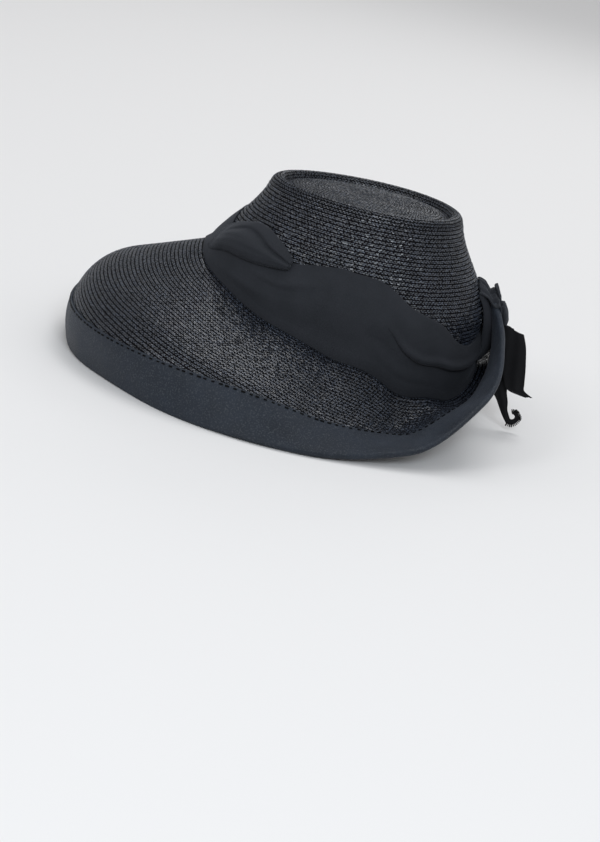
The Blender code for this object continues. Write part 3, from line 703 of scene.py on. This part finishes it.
for length in (-STRAW_WALL, 0.0):
    brim_row(length)
shown_arc = brim_arc - BINDING_WIDTH + UNDER_BINDING
for share in np.linspace(0.0, 1.0, BRIM_RINGS + 1)[1:]:
    brim_row(share * shown_arc, weight=1.0)
for share in (0.3, 0.65, 1.0):
    brim_row(shown_arc + share * (brim_arc - shown_arc))
for share in np.linspace(1.0, 0.0, 40):
    brim_row(share * brim_arc, -STRAW_WALL)
brim_row(-STRAW_WALL, -STRAW_WALL)
brim = lay_mesh("brim_straw", rings, places, joined=True, marks=marks)
grow(brim, braid_tree, {"Lap depth": LAP_DEPTH, "Unevenness": 0.0005, "Material": braid_ground_painted_shade})
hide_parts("brim")
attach(brim, "root")


def brim_surface(arc):
    return over_brim(plait_cut, np.full((FINE, 1), arc))[:, 0]


brim_rows = range(0, int((plait_cut.arc.max() - BINDING_WIDTH + 0.002) / BRAID_ROW))
brim_plait = plait_places(brim_surface, brim_rows, BRAID_ROW,
                          lambda arc: arc > plait_cut.arc - BINDING_WIDTH + 0.0005)
brim_straws = straws("brim_plait", brim_plait, braid_straw, (0.0020, 0.00080, 0.00038), 0.15, 7)
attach(brim_straws, "root")


# Brim binding
# A black ribbon about 53 mm wide, steamed to the curve of the rim, folded over the brim's edge and sewn
# through near its inner edge with small stitches.

BINDING_UNDER = 0.0213
STITCH_STEP = 0.0055
STITCH_INSET = 0.0016                # from the ribbon's inner edge to the line of stitches
STITCH_LIFT = 0.0002
ribbon_lift = GAP + RIBBON_WALL


def ribbon_finish(name):
    """Ribbed ribbon: fine cross ribs, a matt face with a little sheen, lint and faint rubs."""
    material, tree, shader = finish_shader(name, (0.014, 0.015, 0.019), 0.66, 0.25, 0.06)
    coordinates = add_node(tree, "ShaderNodeTexCoord")
    place = coordinates.outputs["Object"]
    weave = add_node(tree, "ShaderNodeTexWave", {"Vector": coordinates.outputs["UV"], "Scale": 420.0,
                                                 "Distortion": 0.6, "Detail": 1.0}, bands_direction="X")
    mottle = noise_at(tree, place, 45.0, 3.0)
    fleck = ramp(tree, noise_at(tree, place, 900.0, 3.0), 0.52, 0.78, 0.0, 0.45)
    ground = two_tone(tree, ramp(tree, mottle, 0.3, 0.7, 0.0, 1.0),
                      (0.010, 0.014, 0.021), (0.017, 0.023, 0.034))
    flecked = add_node(tree, "ShaderNodeMix", {"Factor": fleck, "A": ground, "B": (0.10, 0.11, 0.12, 1.0)},
                       data_type="RGBA").outputs[2]
    fill(tree, shader, {
        "Base Color": flecked, "Roughness": ramp(tree, mottle, 0.3, 0.7, 0.50, 0.64),
        "Normal": grain_normal(tree, weave.outputs["Fac"], 0.5, 0.00025)})
    return material


ribbon = ribbon_finish("black ribbed ribbon")
rings, places = [], []


def ribbon_row(lengths, lift, across):
    ring = over_brim(crown_cut, lengths[:, None], lift)[:, 0]
    ring[:, 2] = np.maximum(ring[:, 2], 0.0)
    rings.append(ring)
    places.append(np.stack([ring_length(ring), np.full(ROUND + 1, across)], axis=-1))


fullness = 0.00025 * np.sin(np.radians(around) * 23.0) + 0.0002 * np.sin(np.radians(around) * 9.0 + 1.0)
for share in np.linspace(1.0, 0.0, 22):
    swell = ribbon_lift + fullness * sin(pi * share) + 0.00025 * smooth_step(share * 12.0)
    ribbon_row(brim_arc - BINDING_WIDTH * share, swell[:, None], share)
turn_radius = STRAW_WALL / 2 + ribbon_lift
for step in range(1, 8):
    turn = pi * step / 8
    ribbon_row(brim_arc + turn_radius * 0.75 * sin(turn), -STRAW_WALL / 2 + turn_radius * cos(turn), -0.1)
for share in np.linspace(0.0, 1.0, 12):
    ribbon_row(brim_arc - BINDING_UNDER * share, -(STRAW_WALL + ribbon_lift), -0.2 - share)
for share in np.linspace(1.0, 0.0, 6):
    ribbon_row(brim_arc - BINDING_UNDER * share, -(STRAW_WALL + GAP), -0.2 - share)
ribbon_row(brim_arc + GAP, -STRAW_WALL / 2, 0.0)
for share in np.linspace(0.0, 1.0, 8):
    ribbon_row(brim_arc - BINDING_WIDTH * share, GAP, share)
binding = lay_mesh("binding_ribbon", rings, places, joined=True)
binding.data.materials.append(ribbon)
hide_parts("brim_binding")
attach(binding, "root")

# Stitches in black thread, sunk a little into the ribbon, just outside its inner edge. The thread is darker
# and duller than the ribbon, partly painted shade, so the stitches read as shaded stitch holes.
thread, tree, shader = finish_shader("black sewing thread and painted stitch shade", (0.002, 0.002, 0.002), 0.7, 0.06, 0.0)
fuzz = noise_at(tree, add_node(tree, "ShaderNodeTexCoord").outputs["Object"], 4000.0)
fill(tree, shader, {"Roughness": ramp(tree, fuzz, 0.3, 0.7, 0.4, 0.7)})
stitch_arcs = (plait_cut.arc - BINDING_WIDTH + STITCH_INSET)[:, None]
stitch_line = over_brim(plait_cut, stitch_arcs, ribbon_lift + STITCH_LIFT)[:, 0]
stitch_run = ring_length(stitch_line)
stitch_count = int(round(stitch_run[-1] / STITCH_STEP))
stitch_spots = np.interp((np.arange(stitch_count) + 0.5) * stitch_run[-1] / stitch_count, stitch_run,
                         np.arange(FINE + 1)).astype(int) % FINE
stitch_facing = unit(over_brim(plait_cut, stitch_arcs, ribbon_lift + 0.01)[:, 0] - stitch_line)
stitches_at = [values[stitch_spots] for values in (stitch_line, round_ring(stitch_line), stitch_facing)]
stitches = straws("binding_stitches", stitches_at, thread, (0.0026, 0.0011, 0.0010), 0.1, 11)
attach(stitches, "root")


# Scarf, lower fold
# A long strip of black crepe, doubled and draped round the foot of the crown in soft creases. Its lower
# edge lies out on the brim and it is caught down here and there with hidden stitches.

CREPE_WALL = 0.0015
BAND_TOE = 0.0032
BAND_SWELL = 0.0017
BAND_GAP = 1.6 * GAP                 # between the crown's wall and the cloth
FLAT_AT = 10.0                       # the band lies flattest this far round to the wearer's right
FLAT_SPREAD = 18.0
RUN_PER_DEGREE = 0.0016              # length round the band to one degree of bearing
# Fullness of the band across its width: share of the height, share of BAND_SWELL
BAND_FULLNESS = ((0.00, 0.55), (0.16, 0.80), (0.40, 1.00), (0.70, 0.80), (0.92, 0.50), (1.00, 0.10))
# Creases and ridges: bearing and height share where each starts and ends, rise, half width
BAND_FOLDS = (
    (52, 0.58, 84, 0.80, 0.0015, 0.0034), (44, 0.40, 80, 0.60, -0.0011, 0.0038),
    (30, 0.18, 62, 0.34, 0.0012, 0.0040), (26, 0.34, 50, 0.42, -0.0010, 0.0030),
    (66, 0.92, 88, 0.96, -0.0007, 0.0030), (88, 0.46, 118, 0.60, 0.0008, 0.0060),
    (70, 0.18, 104, 0.26, -0.0006, 0.0050), (104, 0.36, 128, 0.34, -0.0012, 0.0030),
    (108, 0.22, 136, 0.20, 0.0009, 0.0040), (12, 0.30, 24, 0.50, 0.0008, 0.0026),
    (212, 0.30, 250, 0.46, 0.0012, 0.0044), (232, 0.62, 284, 0.70, -0.0010, 0.0050),
    (262, 0.34, 310, 0.48, 0.0013, 0.0046), (290, 0.66, 338, 0.60, 0.0010, 0.0040),
    (300, 0.22, 350, 0.30, -0.0010, 0.0040), (330, 0.50, 358, 0.52, -0.0008, 0.0034),
)


def crepe_finish(name, dark, light):
    """Matt black crepe: a crinkled grain in both directions, soft mottling and a faint bloom."""
    material, tree, shader = finish_shader(name, dark, 0.88, 0.22, 0.06)
    coordinates = add_node(tree, "ShaderNodeTexCoord")
    place = coordinates.outputs["Object"]
    crinkle = noise_at(tree, place, 1500.0, 4.0)
    weave = add_node(tree, "ShaderNodeTexWave", {"Vector": coordinates.outputs["UV"], "Scale": 500.0,
                                                 "Distortion": 4.0, "Detail": 2.0}, bands_direction="Y")
    mottle = noise_at(tree, place, 60.0, 3.0)
    grain = sum_of(tree, "MULTIPLY_ADD", weave.outputs["Fac"], 0.35, crinkle)
    fill(tree, shader, {
        "Base Color": two_tone(tree, ramp(tree, mottle, 0.3, 0.7, 0.0, 1.0), dark, light),
        "Roughness": ramp(tree, crinkle, 0.3, 0.7, 0.80, 0.95),
        "Normal": grain_normal(tree, grain, 0.55, 0.00022)})
    return material


crepe = crepe_finish("black crepe", (0.016, 0.018, 0.022), (0.020, 0.022, 0.027))
# A darker copy of the crepe for the hanging tails: painted shade, as they face away from the lamps.
crepe_painted_shade = crepe_finish("black crepe, painted shade", (0.003, 0.003, 0.004), (0.005, 0.005, 0.006))


def fold_rise(folds, bearings, shares, heights):
    """How far the folds lift the cloth at each place. The cloth is measured along and across the band."""
    rise = np.zeros(np.broadcast(bearings, shares).shape)
    for start, low, end, high, lift, width in folds:
        along = (end - start) * RUN_PER_DEGREE
        climb = (high - low) * heights
        size = np.sqrt(along ** 2 + climb ** 2)
        right = (bearings - start) * RUN_PER_DEGREE
        up = (shares - low) * heights
        at = np.clip((right * along + up * climb) / size ** 2, 0.0, 1.0)
        away = np.hypot(right - at * along, up - at * climb)
        fade = np.sin(pi * np.clip(at * 0.94 + 0.03, 0.0, 1.0)) ** 0.6
        rise += lift * fade * np.exp(-(away / width) ** 2)
    return rise


def band_face(cut, shares, extra=0.0):
    """Points of the draped band's outer face at shares of its height, one row per bearing."""
    shares = np.broadcast_to(shares, (len(cut.bearings), np.shape(shares)[-1]))
    heights = cut.band[:, None] * shares
    from_front = (cut.bearings[:, None] + FLAT_AT + 180.0) % 360.0 - 180.0
    flat = 1.0 - 0.75 * np.exp(-(from_front / FLAT_SPREAD) ** 2)
    swell = BAND_SWELL * eased(BAND_FULLNESS, 1, shares) * flat
    folds = fold_rise(BAND_FOLDS, cut.bearings[:, None], shares, cut.band[:, None])
    thin = 1.0 - 0.5 * smooth_step((shares - 0.6) / 0.4)
    offset = BAND_GAP + CREPE_WALL * thin + swell + np.maximum(folds, -0.4 * CREPE_WALL) + extra
    return on_wall(cut, heights, offset)


WIDE = 480
band_cut = brim_cut(np.arange(WIDE) * 360.0 / WIDE)
band_top = band_cut.band[:, None]
outer_face = band_face(band_cut, np.linspace(0.0, 1.0, 44)[None, :] ** 0.9)
toe, toe_top, toe_inner = (
    over_brim(band_cut, np.full((WIDE, 1), BAND_TOE + out), GAP + lift)
    for out, lift in ((CREPE_WALL, 0.0001), (CREPE_WALL * 1.1, CREPE_WALL * 0.8), (0.0, 0.0)))
inner_face = on_wall(band_cut, band_top * np.array([[1.0, 0.8, 0.6, 0.4, 0.2, 0.05]]), BAND_GAP)
hem = on_wall(band_cut, band_top + 0.0004, BAND_GAP + CREPE_WALL * 0.5)
rows = np.concatenate([toe, toe_top, outer_face[:, 4:], hem, inner_face, toe_inner], axis=1)
rings = np.swapaxes(rows, 0, 1)
across = summed(np.linalg.norm(np.diff(rings, axis=0), axis=2).mean(axis=1))
places = [np.stack([ring_length(ring), np.full(WIDE + 1, at)], axis=-1) for ring, at in zip(rings, across)]
lower_fold = lay_mesh("scarf_lower_drape", rings, places, joined=True)
lower_fold.data.materials.append(crepe)
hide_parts("scarf_lower_fold")
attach(lower_fold, "root")


# Scarf, upper fold
# The second layer of the same crepe. It comes out of the draped band at the side, hangs over it round the
# back in a rolled edge, and runs under the strap.

UPPER_START, UPPER_END = 104.0, 256.0
# Lower edge: bearing, share of the band's height, roll of the edge. The far side mirrors the near one.
UPPER_EDGE = (
    (104, 0.62, 0.1), (112, 0.55, 0.7), (119, 0.47, 1.2), (128, 0.42, 1.3),
    (138, 0.46, 1.2), (150, 0.57, 1.0), (165, 0.62, 0.6), (180, 0.62, 0.6),
)
UPPER_EDGE += tuple((360 - bearing, share, roll) for bearing, share, roll in UPPER_EDGE[-2::-1])


def facing_of(sheet):
    return unit(np.cross(np.gradient(sheet, axis=0), np.gradient(sheet, axis=1)))


def cloth(name, sheet, wall, material):
    """A thin cloth with two sides that meet at its hems, from a grid of points through its middle."""
    sheet = np.asarray(sheet, float)
    half = facing_of(sheet) * wall / 2
    rings = [np.concatenate([sheet[0], sheet[0][::-1]])]
    rings += [np.concatenate([near, far[::-1]]) for near, far in zip(sheet + half, sheet - half)]
    rings.append(np.concatenate([sheet[-1], sheet[-1][::-1]]))
    runs = summed(np.linalg.norm(np.diff(sheet, axis=0), axis=2).mean(axis=1))
    runs = np.concatenate([[runs[0]], runs, [runs[-1]]])
    spots = summed(np.linalg.norm(np.diff(sheet, axis=1), axis=2).mean(axis=0))
    spots = np.concatenate([spots, spots[::-1], spots[:1]])
    piece = lay_mesh(name, rings, np.stack(np.broadcast_arrays(runs[:, None], spots[None, :]), axis=-1))
    body = bmesh.new()
    body.from_mesh(piece.data)
    bmesh.ops.remove_doubles(body, verts=body.verts, dist=1e-6)
    body.to_mesh(piece.data)
    body.free()
    piece.data.shade_smooth()
    piece.data.materials.append(material)
    return piece


def through(points, count):
    """A smooth run of points through a few, evenly spread."""
    points = np.asarray(points, float)
    padded_points = np.concatenate([[2 * points[0] - points[1]], points, [2 * points[-1] - points[-2]]])
    spot = np.linspace(0.0, len(points) - 1.0, count)
    index = np.minimum(spot.astype(int), len(points) - 2)
    t = (spot - index).reshape((-1,) + (1,) * (points.ndim - 1))
    a, b, c, d = (padded_points[index + k] for k in range(4))
    return 0.5 * (2 * b + (c - a) * t + (2 * a - 5 * b + 4 * c - d) * t ** 2
                  + (3 * b - 3 * c + d - a) * t ** 3)


upper_bearings = np.linspace(UPPER_START, UPPER_END, 230)
upper_cut = brim_cut(upper_bearings)
edge, roll = (eased(UPPER_EDGE, column, upper_bearings)[:, None] for column in (1, 2))
shares = edge + (1.0 - edge) * np.linspace(0.0, 1.0, 30)[None, :]
shares[:, -1] = 1.0
emerging = smooth_step(np.minimum(upper_bearings - UPPER_START, UPPER_END - upper_bearings) / 20.0)[:, None]
from_edge = (shares - edge) * upper_cut.band[:, None]
rolled = 0.0022 * roll * np.exp(-((from_edge - 0.0028) / 0.0030) ** 2)
ripple = 0.0005 * np.sin(from_edge / 0.0042 + np.radians(upper_bearings)[:, None] * 5.0)
fading_top = 1.0 - smooth_step((shares - 0.8) / 0.2) * 0.6
standing = emerging * (GAP + CREPE_WALL * 0.6 + rolled + ripple) * fading_top - (1.0 - emerging) * 0.0012
upper_fold = cloth("scarf_upper_drape", band_face(upper_cut, shares, standing), CREPE_WALL * 0.8, crepe)
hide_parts("scarf_upper_fold")
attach(upper_fold, "root")


# Scarf, twist
# The two ends of the strip are wound once round each other at the wearer's front left, which leaves a soft
# puff of cloth that stands off the band and spills over its upper edge.

TWIST_SWELL = 0.0100
TWIST_START, TWIST_END = 12.0, 66.0
CREASE_WIDTH = 0.085
# Bearing, lower edge and upper edge / BAND_HEIGHT, swell / TWIST_SWELL, place of the crease across it
TWIST_SECTIONS = (
    (12, 0.05, 0.27, 0.02, 0.60), (18, 0.08, 0.43, 0.16, 0.64), (24, 0.16, 0.55, 0.52, 0.70),
    (30, 0.25, 0.64, 0.84, 0.76), (36, 0.31, 0.72, 0.98, 0.78), (42, 0.36, 0.77, 1.00, 0.76),
    (48, 0.42, 0.80, 0.98, 0.72), (54, 0.49, 0.81, 0.92, 0.66), (60, 0.56, 0.80, 0.76, 0.62),
    (66, 0.63, 0.75, 0.40, 0.60),
)
twist_bearings = np.linspace(TWIST_START, TWIST_END, 110)
twist_cut = brim_cut(twist_bearings)
low, high, swell, crease = (eased(TWIST_SECTIONS, column, twist_bearings)[:, None] for column in range(1, 5))
across = np.linspace(0.0, 1.0, 44)[None, :]
dome = np.sin(pi * across) ** 0.62
bearing = twist_bearings[:, None]
dent = 0.42 * np.exp(-((across - crease) / CREASE_WIDTH) ** 2) * smooth_step((bearing - 20.0) / 14.0)
pull = 0.02 * np.sin(across * 17.0 + bearing * 0.10)
pull += 0.015 * np.sin(across * 31.0 - bearing * 0.16)
puffed = TWIST_SWELL * swell * dome * (1.0 - dent + pull)
base = BAND_GAP + CREPE_WALL + BAND_SWELL * 0.7
inner_across = np.linspace(0.96, 0.04, 12)[None, :]
outside, inside = (
    on_wall(twist_cut, (low + (high - low) * at) * BAND_HEIGHT, offset)
    for at, offset in ((across, base + 0.0004 + puffed), (inner_across, base - 0.0008)))
rings = np.concatenate([outside, inside], axis=1)
places = np.stack(np.broadcast_arrays(
    np.radians(bearing) * 0.09, np.linspace(0.0, 0.075, rings.shape[1] + 1)[None, :]), axis=-1)
twist = lay_mesh("scarf_twist_puff", rings, places, start=rings[0].mean(axis=0), end=rings[-1].mean(axis=0))
twist.data.materials.append(crepe)
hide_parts("scarf_twist")
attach(twist, "root")


# Scarf, strap
# Both ends come together at the back of the crown, run up it side by side, and pass over the bound rim
# where the brim is turned up, gathered into a narrow strap.

STRAP_SPREAD = 12.0
STRAP_ARCH = 0.0070
STRAP_COLUMNS, STRAP_ROWS = 49, 90
strap_cut = brim_cut(np.linspace(180.0 - STRAP_SPREAD, 180.0 + STRAP_SPREAD, STRAP_COLUMNS))
clear = GAP + RIBBON_WALL + GAP
middle = CREPE_WALL / 2
rim = over_brim(strap_cut, (strap_cut.arc + clear)[:, None])[:, 0]
crest = (rim[:, 2] - strap_cut.foot_height + STRAP_ARCH)[:, None]
band_top = strap_cut.band[:, None]
sway = np.linspace(-1.0, 1.0, STRAP_COLUMNS)[None, :]
puff = np.sqrt(1.0 - 0.98 * sway[0] ** 2)[:, None]
key_rows = [band_face(strap_cut, np.full((STRAP_COLUMNS, 1), share), 0.0010 + rise * puff)[:, 0]
            for share, rise in ((0.42, 0.0010), (0.60, 0.0060), (0.80, 0.0090), (1.0, 0.0100))]
for share, rise in ((0.35, 0.0095), (0.72, 0.0060), (1.0, 0.0)):
    key_rows.append(on_wall(strap_cut, band_top + (crest - band_top) * share,
                            BAND_GAP + middle + rise * puff)[:, 0])
bridge = key_rows[-1] * 0.5 + rim * 0.5
bridge[:, 2] += STRAP_ARCH * 0.24 + middle
key_rows.append(bridge)
under = -STRAW_WALL - clear
for past, lift in ((clear + middle, GAP), (clear + middle * 0.7, under - middle * 0.7),
                   (-BINDING_WIDTH / 3, under - middle), (-BINDING_WIDTH * 2 / 3, under - middle)):
    key_rows.append(over_brim(strap_cut, (strap_cut.arc + past)[:, None], lift)[:, 0])
sheet = through(key_rows, STRAP_ROWS)
down = np.linspace(0.0, 1.0, STRAP_ROWS)[:, None]
gathers = 0.00045 * np.sin(sway * 15.0 + down * 2.0) + 0.0003 * np.sin(sway * 26.0 - down * 3.0)
facing = facing_of(sheet)
outward_side = np.sign((facing * strap_cut.outward[None, :, :]).sum(axis=2)[0].mean())
sheet = sheet + facing * outward_side * (gathers + 0.0005)[..., None]
strap = cloth("scarf_strap_cloth", sheet, CREPE_WALL * 0.8, crepe)
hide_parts("scarf_strap")
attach(strap, "root")


# Scarf, knot
# A flat knot, pulled tight outside the turned-up back: a round of cloth wound over the two ends, with
# creases that run to its edges.

knot_low, knot_high = (np.array(corner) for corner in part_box("scarf_knot"))
knot_middle = (knot_low + knot_high) / 2
KNOT_WIDTH, KNOT_HEIGHT, KNOT_DEPTH = 0.0240, 0.0175, 0.0062
KNOT_LEAN = radians(20.0)
KNOT_COLUMNS, KNOT_RINGS = 64, 46
knot_out = np.array([0.0, cos(KNOT_LEAN), sin(KNOT_LEAN)])
knot_up = np.array([0.0, -sin(KNOT_LEAN), cos(KNOT_LEAN)])
stations = -np.cos(pi * (np.arange(KNOT_RINGS) + 0.5) / KNOT_RINGS)[:, None]
turns = (np.arange(KNOT_COLUMNS) * 2 * pi / KNOT_COLUMNS)[None, :]
round_off = (1.0 - np.abs(stations) ** 3.4) ** 0.5
wound = 0.10 * np.exp(-(stations / 0.42) ** 6) - 0.04
creases = 0.030 * np.sin(turns * 6.0 + stations * 7.0) + 0.022 * np.sin(turns * 11.0 - stations * 12.0)
edge_groove = -0.07 * np.exp(-((np.abs(stations) - 0.52) / 0.07) ** 2)
size = round_off * (1.0 + wound + creases + edge_groove)
rings = (knot_middle + (KNOT_WIDTH / 2 * stations)[..., None] * np.array([1.0, 0.0, 0.0])
         + (KNOT_DEPTH / 2 * size * np.sin(turns))[..., None] * knot_out
         + (KNOT_HEIGHT / 2 * size * np.cos(turns))[..., None] * knot_up)
places = np.stack(np.broadcast_arrays(stations * KNOT_WIDTH / 2,
                                      np.linspace(0.0, 0.045, KNOT_COLUMNS + 1)[None, :]), axis=-1)
knot = lay_mesh("scarf_knot_wound", rings, places, start=rings[0].mean(axis=0), end=rings[-1].mean(axis=0))
knot.data.materials.append(crepe)
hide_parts("scarf_knot")
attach(knot, "root")


# Scarf, short end
# The tip of one end of the strip, left standing up out of the knot behind the rim. It is the same crepe,
# a little crumpled, and nothing but the knot holds it.

STUB_FOOT = 0.0095                   # how far below the rim it leaves the knot
STUB_RUN = 0.0158
STUB_COLUMNS = 15
stub_cut = brim_cut(np.linspace(174.5, 185.5, STUB_COLUMNS))
stub_lift = -(STRAW_WALL + clear + CREPE_WALL + GAP + middle)
stub_across = np.linspace(0.0, 1.0, STUB_COLUMNS)
stub_rows = []
for share in np.linspace(0.0, 1.0, 24):
    row = over_brim(stub_cut, (stub_cut.arc - STUB_FOOT + STUB_RUN * share)[:, None], stub_lift)[:, 0]
    row[:, 0] = row[:, 0] * (1.0 - 0.35 * share) + 0.0012 * share
    row[:, 1] += 0.0007 * np.sin(stub_across * 7.0 + share * 3.0) - 0.0012 * share ** 2
    row[:, 2] += 0.0006 * np.sin((stub_across * 2.0 - 1.0) * 2.0)
    stub_rows.append(row)
stub = cloth("scarf_short_end", stub_rows, CREPE_WALL * 0.75, crepe)
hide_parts("scarf_end_stub")
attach(stub, "root")


# Scarf, broad tail
# The broader end of the strip, in a darker copy of the same crepe: painted shade, as the tails hang turned
# away from the lamps. It hangs from the knot on its edge, a little cupped, and its hemmed tip curls away
# behind.

TAIL_SIDESTEP = 0.0045
BROAD_TAIL_LENGTH = 0.0505
BROAD_TAIL_WIDTH = 0.0185
broad_low, broad_high = (np.array(corner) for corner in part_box("scarf_tail_broad"))
tails_start = np.array([0.0, broad_low[1], broad_high[2]])
# Drop / length, set back / width, width / width, step aside / TAIL_SIDESTEP, rise of the far edge / width
BROAD_TAIL = (
    (0.00, 0.00, 0.88, 0.5, -0.22), (0.20, 0.12, 0.97, 0.9, -0.15), (0.44, 0.26, 0.98, 1.2, -0.10),
    (0.62, 0.38, 0.95, 1.3, -0.06), (0.80, 0.56, 0.84, 1.3, 0.00), (0.94, 0.78, 0.70, 1.1, 0.08),
    (1.00, 1.40, 0.46, 0.8, 0.02),
)


def tail_sheet(table, length, width, rows, columns, bow):
    """The middle of a hanging end, facing sideways and bowed across its width."""
    inner, outer = [], []
    for drop, setback, breadth, aside, rise in table:
        near = tails_start + np.array([aside * TAIL_SIDESTEP, setback * width, -drop * length])
        inner.append(near)
        outer.append(near + np.array([0.0, breadth * width, rise * width]))
    inner, outer = through(inner, rows), through(outer, rows)
    share = np.linspace(0.0, 1.0, columns)[None, :, None]
    sheet = inner[:, None, :] * (1 - share) + outer[:, None, :] * share
    down = np.linspace(0.0, 1.0, rows)[:, None]
    sheet[..., 0] += bow * np.sin(pi * share[..., 0]) * (1.0 - 0.4 * down)
    sheet[..., 0] += 0.0007 * np.sin(share[..., 0] * 9.0 + down * 4.0) * np.sin(pi * share[..., 0])
    return sheet


broad_sheet = tail_sheet(BROAD_TAIL, BROAD_TAIL_LENGTH, BROAD_TAIL_WIDTH, 90, 34, CREPE_WALL * 0.9)
broad_tail = cloth("scarf_broad_end", broad_sheet, CREPE_WALL * 0.75, crepe_painted_shade)
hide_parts("scarf_tail_broad")
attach(broad_tail, "root")


# Scarf, fringed tail
# The narrow end hangs behind the broad one, in the same darker crepe with its painted shade. Its cut tip has
# curled up into a hook, and the cross threads have worked out of its edge there into a short stiff fringe.

FRINGED_TAIL_LENGTH = 0.0735
FRINGED_TAIL_WIDTH = 0.0120
CURL_RADIUS = 0.0022
HOOK_TURN = 225.0
HOOK_ROWS = 60
THREAD_EVERY = 3                     # one thread of the fringe to this many rows of the hook
FRINGED_TAIL = (
    (0.00, 0.00, 0.70, -0.5, -0.20), (0.20, 0.30, 0.80, -0.8, -0.06), (0.44, 0.28, 0.95, -0.8, 0.00),
    (0.66, 0.20, 1.03, 0.0, 0.00), (0.79, 0.75, 0.71, 0.7, 0.02), (0.92, 1.26, 0.30, 0.9, 0.33),
    (1.00, 1.63, 0.20, 1.0, 0.31),
)
fringed_sheet = tail_sheet(FRINGED_TAIL, FRINGED_TAIL_LENGTH, FRINGED_TAIL_WIDTH, 80, 20, CREPE_WALL * 0.6)
low_edge, hook_edge = fringed_sheet[-1][0], fringed_sheet[-1][-1]
reach = low_edge - hook_edge
breadth = float(np.linalg.norm(reach))
hook_centre = hook_edge - reach / breadth * CURL_RADIUS
first_turn = np.arctan2(reach[1], -reach[2])
hook_rows, fringe_points, fringe_headings = [], [], []
for step in range(1, HOOK_ROWS + 1):
    share = step / HOOK_ROWS
    turn = first_turn + radians(HOOK_TURN) * share
    direction = np.array([0.0, sin(turn), -cos(turn)])
    spread = CURL_RADIUS + breadth * (1.0 - 0.55 * share)
    hook_rows.append(hook_centre + direction * np.linspace(spread, CURL_RADIUS, 20)[:, None])
    if step % THREAD_EVERY == 0:
        fringe_points.append(hook_centre + direction * (spread + 0.0004))
        fringe_headings.append(direction)
hooked = np.concatenate([fringed_sheet, np.array(hook_rows)])
fringed_tail = cloth("scarf_fringed_end", hooked, CREPE_WALL * 0.7, crepe_painted_shade)
fringe_facings = np.tile((1.0, 0.0, 0.0), (len(fringe_points), 1))
fringe = straws("scarf_fringe_threads", (np.array(fringe_points), np.array(fringe_headings), fringe_facings),
                thread, (0.0032, 0.0009, 0.0008), 0.2, 13)
for piece in (fringed_tail, fringe):
    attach(piece, "root")
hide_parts("scarf_tail_fringed")
